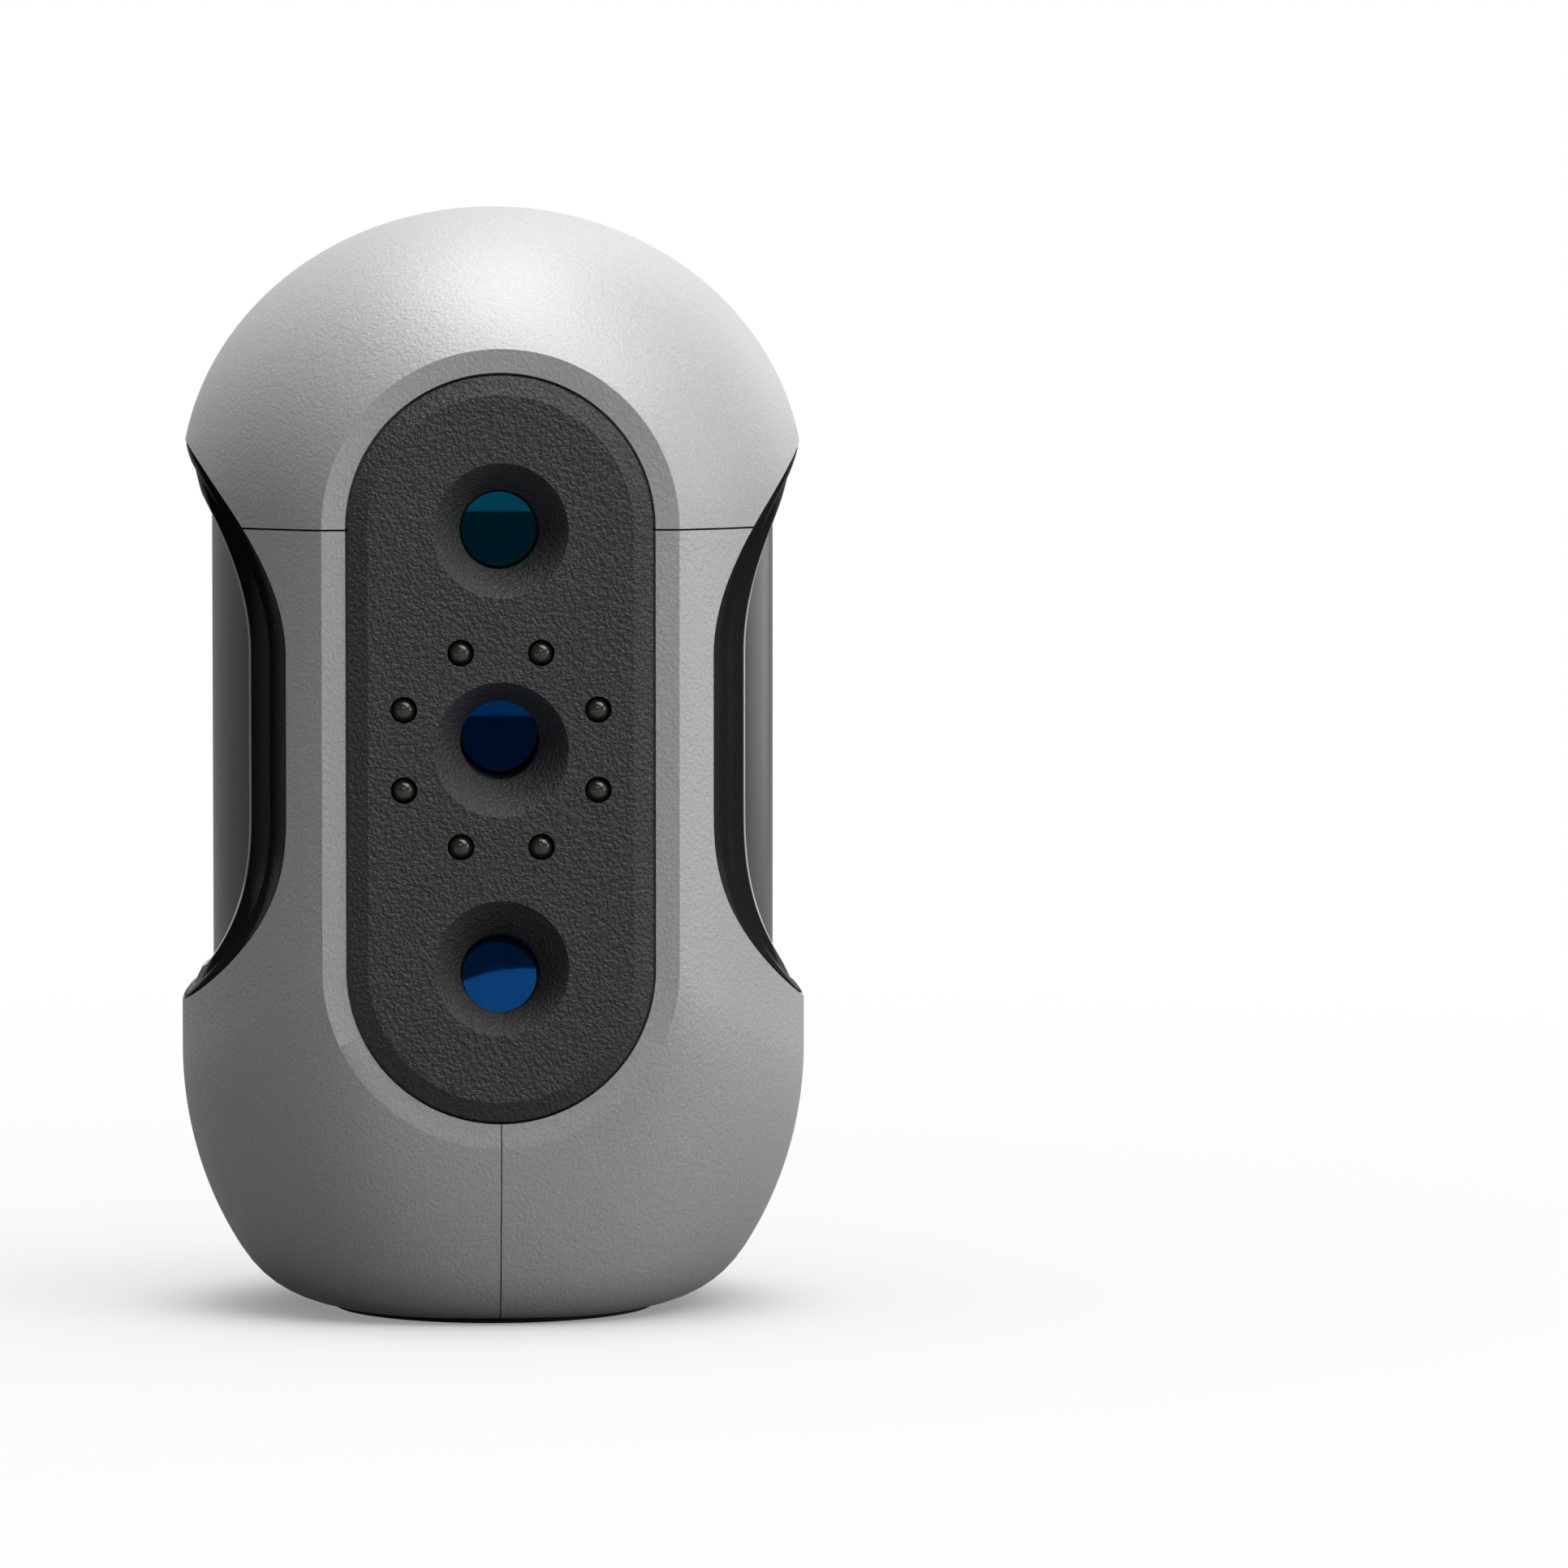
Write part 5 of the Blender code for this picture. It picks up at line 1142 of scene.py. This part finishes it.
def make_windows():
    """The glass windows, each with a slightly hollow face."""
    depth = RECESS_DEPTH + WINDOW_SETBACK
    radius = BORE_RADIUS - GAP
    turns = quarter(DOME_STEPS)
    dish = [(radius * math.sin(turn), WINDOW_DISH * math.cos(turn) ** 2) for turn in turns]
    outline = [(0.0, WINDOW_THICKNESS), (radius, WINDOW_THICKNESS), *reversed(dish)]
    for name, (z, tilt) in LENSES.items():
        place = (0.0, PANEL_FACE + depth, z + depth * math.tan(tilt))
        window = turned(f"{name}_window", outline, place, -math.pi / 2 + WINDOW_LEANS[name])
        stand_in(window, "coated_glass", f"{name}_lens", made=GLASS[name])


def make_lamps():
    """The clear domes of the lamps."""
    radius = LAMP_RADIUS
    tip = PANEL_FACE - LAMP_PROUD
    base = tip + radius
    seat = PANEL_BACK + 2 * GAP
    turns = quarter(DOME_STEPS)[:-1]
    dome = [(radius * math.cos(turn), base - radius * math.sin(turn)) for turn in turns]
    profile = [(0.0, seat), (radius, seat), *dome, (0.0, tip)]
    for number, (x, z) in enumerate(lamp_places(), start=1):
        lamp = turned(f"led_{number}_dome", profile, (x, 0.0, z), steps=SMALL_TURN_STEPS)
        stand_in(lamp, "clear_lamp", f"led_{number}")


def rounded_corner(radius, height, size, outward=1.0):
    """Points of a rounded edge, from the wall at radius to the face at height."""
    points = []
    for turn in quarter(CORNER_STEPS):
        inward = outward * size * (1.0 - math.cos(turn))
        points.append((radius - inward, height - size * (1.0 - math.sin(turn))))
    return points


def make_button():
    """The scan button, with a rounded rim and a shallow dish for the finger."""
    wall = COLUMN_FACE - COLUMN_WALL - GAP
    back = wall - BUTTON_FLANGE_THICKNESS
    face = COLUMN_FACE + BUTTON_PROUD
    flange = BUTTON_RADIUS + BUTTON_FLANGE
    dish = BUTTON_DISH_SHARE * BUTTON_RADIUS
    profile = [(0.0, back), (flange, back), (flange, wall), (BUTTON_RADIUS, wall)]
    profile += rounded_corner(BUTTON_RADIUS, face, BUTTON_CROWN)
    for step in range(DISH_STEPS, -1, -1):
        share = step / DISH_STEPS
        profile.append((dish * share, face - BUTTON_CROWN * (1.0 - share**2)))
    button = turned("scan_button_fine", profile, BUTTON_PLACE)
    stand_in(button, "black_moulding", "scan_button", body=BUTTON)


def make_status_light():
    """The small clear rod above the button."""
    face = COLUMN_FACE + LIGHT_PROUD
    profile = [(0.0, face - LIGHT_LENGTH), (LIGHT_RADIUS, face - LIGHT_LENGTH)]
    profile += rounded_corner(LIGHT_RADIUS, face, LIGHT_RADIUS / 3)
    profile += [(0.0, face)]
    light = turned("status_light", profile, LIGHT_PLACE, steps=SMALL_TURN_STEPS)
    stand_in(light, "clear_lamp", "status_light_pipe")


def make_socket():
    """The socket's turned shell with rounded lips, and the six-sided nut round it."""
    mouth = SOCKET_FACE + SOCKET_PROUD
    back = mouth - SOCKET_LENGTH
    profile = [(SOCKET_RADIUS, back)]
    profile += rounded_corner(SOCKET_RADIUS, mouth, SOCKET_EDGE)
    profile += rounded_corner(SOCKET_BORE_RADIUS, mouth, SOCKET_EDGE, outward=-1.0)[::-1]
    profile += [(SOCKET_BORE_RADIUS, back)]
    shell = turned("socket_shell", profile, SOCKET_PLACE)
    stand_in(shell, "plated_steel", "cable_socket")
    start = SOCKET_FACE + GAP
    nut = rod_tool(NUT_RADIUS, start, start + NUT_THICKNESS, SOCKET_PLACE, NUT_SIDES)
    nut.name = "socket_ring_nut"
    cut(nut, rod_tool(SOCKET_RADIUS + GAP, 0.0, BACK_DEPTH, SOCKET_PLACE))
    edge = nut.modifiers.new("edges", "BEVEL")
    edge.width = GAP / 2
    edge.segments = NUT_EDGE_STEPS
    edge.angle_limit = NUT_BEVEL_TURN
    stand_in(smooth(nut, NUT_SHARP_TURN), "plated_steel", "socket_nut")


def make_foot():
    """The oval foot pad, with a rounded lower edge."""
    rings = []
    for turn in reversed(quarter(FOOT_EDGE_STEPS)):
        margin = -FOOT_EDGE * (1.0 - math.cos(turn))
        rings.append((margin, FOOT_EDGE * (1.0 - math.sin(turn))))
    rings.append((0.0, FOOT_THICKNESS))
    sections = [[(x, y, height) for x, y in foot_outline(margin)] for margin, height in rings]
    foot = loft("foot_pad", sections)
    cut(foot, upright_rod(TRIPOD_BOSS_RADIUS + GAP, -OVERRUN, CASING_FLOOR))
    stand_in(smooth(foot), "dark_rubber", "base_foot")


def paint_solids():
    """Every solid that still shows takes the fine material of its own slot."""
    slots = {row["node"]: row["material_slot"] for row in frame["record"]["subparts"]}
    for name, node in frame["nodes"].items():
        node.data.materials.clear()
        node.data.materials.append(MATERIALS[slots[name]])
        smooth(node, SOLID_SHARP_TURN)


paint_solids()
make_casing()
make_trims()
make_column()
make_panel()
make_windows()
make_lamps()
make_button()
make_status_light()
make_socket()
make_foot()


# Floor, lights and camera

# How strongly each kind of ray sees the white room and the floor
SEEN_BY = {"Is Camera Ray": 1.0, "Is Glossy Ray": 1.0, "Is Transmission Ray": 1.0}
FLOOR_SEEN_BY = {"Is Camera Ray": 1.0, "Is Glossy Ray": 0.25, "Is Transmission Ray": 1.0}
WORLD_LIGHT = 0.03
STUDIO_DIM = 0.045
STUDIO_EDGE = (-0.1, 0.7)

# The share of plain white at these distances from the middle of the floor
FLOOR_FADE = (
    (0.022, 0.25),
    (0.040, 0.68),
    (0.07, 0.82),
    (0.12, 0.90),
    (0.25, 0.97),
    (0.45, 1.0),
)
FLOOR_REACH = 6.0
FLOOR_DARK = (0.10, 0.10, 0.10, 1.0)

# The camera: 90 degrees of tilt looks level
SENSOR_WIDTH_MM = 36.0
CAMERA_LENS_MM = 216.5
CAMERA_BEARING = math.radians(1.8)
CAMERA_TILT = math.radians(90.0 - 3.506)
CAMERA_PAN = math.radians(3.57)

# Softboxes: direction from the scanner, share of the power, width and height
LAMP_POWER = 10.0
LAMP_DISTANCE = 0.8
SOFTBOXES = {
    "overhead": ((0.0, 0.0, 1.0), 0.295, 0.55, 0.55),
    "front_high": ((0.1, -0.40, 0.91), 0.150, 0.55, 0.55),
    "key": ((0.5, -0.5, 0.7), 0.225, 0.55, 0.55),
    "back_high": ((0.2, 0.6, 0.77), 0.035, 0.55, 0.55),
    "back_right": ((0.75, 0.75, 0.2), 0.050, 0.55, 0.55),
    "right_low": ((0.9, -0.3, 0.05), 0.160, 0.55, 0.55),
    "front": ((-0.05, -0.93, 0.36), 0.028, 0.45, 0.25),
}


def make_floor():
    """A pale floor that fades to plain white, and that throws little light back up."""
    builder = bmesh.new()
    bmesh.ops.create_grid(builder, x_segments=1, y_segments=1, size=FLOOR_REACH)
    floor = new_object("floor", mesh_from(builder, "floor"))
    made, nodes = new_material("pale_floor")
    cloud = nodes.noise(FLOOR_CLOUD_CELLS, detail=2.0)
    seen = nodes.rays(FLOOR_SEEN_BY)
    pale = nodes.greys(cloud, (0.3, 0.84), (0.7, 0.86))
    nodes.set(
        Base_Color=nodes.mix(seen, FLOOR_DARK, pale),
        Roughness=nodes.ramp(cloud, 0.75, 0.85),
        Specular_IOR_Level=0.0,
    )
    distance = nodes.add("ShaderNodeVectorMath", {0: nodes.position()}, operation="LENGTH")
    fade = nodes.greys(distance.outputs["Value"], *FLOOR_FADE)
    away = nodes.add("ShaderNodeRGBToBW", {"Color": fade}).outputs["Val"]
    white = nodes.add("ShaderNodeEmission").outputs[0]
    lit = nodes.shader.outputs[0]
    surface = nodes.mix_shaders(nodes.math("MULTIPLY", away, seen), lit, white)
    nodes.feed(nodes.tree.nodes["Material Output"].inputs["Surface"], surface)
    floor.data.materials.append(made)


def make_world():
    """A white room to look at; its front half, behind the camera, reflects as a dim studio."""
    world = bpy.data.worlds.new("studio")
    world.use_nodes = True
    bpy.context.scene.world = world
    world.node_tree.nodes.clear()
    nodes = Nodes(world.node_tree)
    place = nodes.add("ShaderNodeTexCoord").outputs["Generated"]
    depth = nodes.add("ShaderNodeSeparateXYZ", {0: place}).outputs["Y"]
    room = nodes.ramp(depth, STUDIO_DIM, 1.0, *STUDIO_EDGE, kind="SMOOTHSTEP")
    camera_ray = nodes.add("ShaderNodeLightPath").outputs["Is Camera Ray"]
    bright = nodes.math("MAXIMUM", room, camera_ray)
    lit = nodes.add("ShaderNodeBackground", {"Color": WHITE, "Strength": WORLD_LIGHT})
    seen = nodes.add("ShaderNodeBackground", {"Color": WHITE, "Strength": bright})
    surface = nodes.mix_shaders(nodes.rays(SEEN_BY), lit.outputs[0], seen.outputs[0])
    nodes.add("ShaderNodeOutputWorld", {"Surface": surface})


def make_camera():
    """The camera at the photograph's angle, one metre from the scanner's axis."""
    data = bpy.data.cameras.new("camera")
    data.sensor_width = SENSOR_WIDTH_MM
    data.lens = CAMERA_LENS_MM
    camera = new_object("camera", data)
    camera.location = (-math.sin(CAMERA_BEARING), -math.cos(CAMERA_BEARING), HEIGHT)
    camera.rotation_euler = (CAMERA_TILT, 0.0, -CAMERA_PAN)
    bpy.context.scene.camera = camera


def make_lights():
    """Oval softboxes round the scanner, all facing its middle."""
    centre = Vector((0.0, 0.0, HEIGHT / 2))
    for name, (direction, share, wide, high) in SOFTBOXES.items():
        data = bpy.data.lights.new(name, "AREA")
        data.shape = "ELLIPSE"
        data.size = wide
        data.size_y = high
        data.energy = share * LAMP_POWER
        light = new_object(name, data)
        light.location = centre + LAMP_DISTANCE * Vector(direction).normalized()
        toward = centre - light.location
        light.rotation_euler = toward.to_track_quat("-Z", "Y").to_euler()


make_floor()
make_world()
make_camera()
make_lights()

bpy.context.scene.view_settings.view_transform = "Standard"
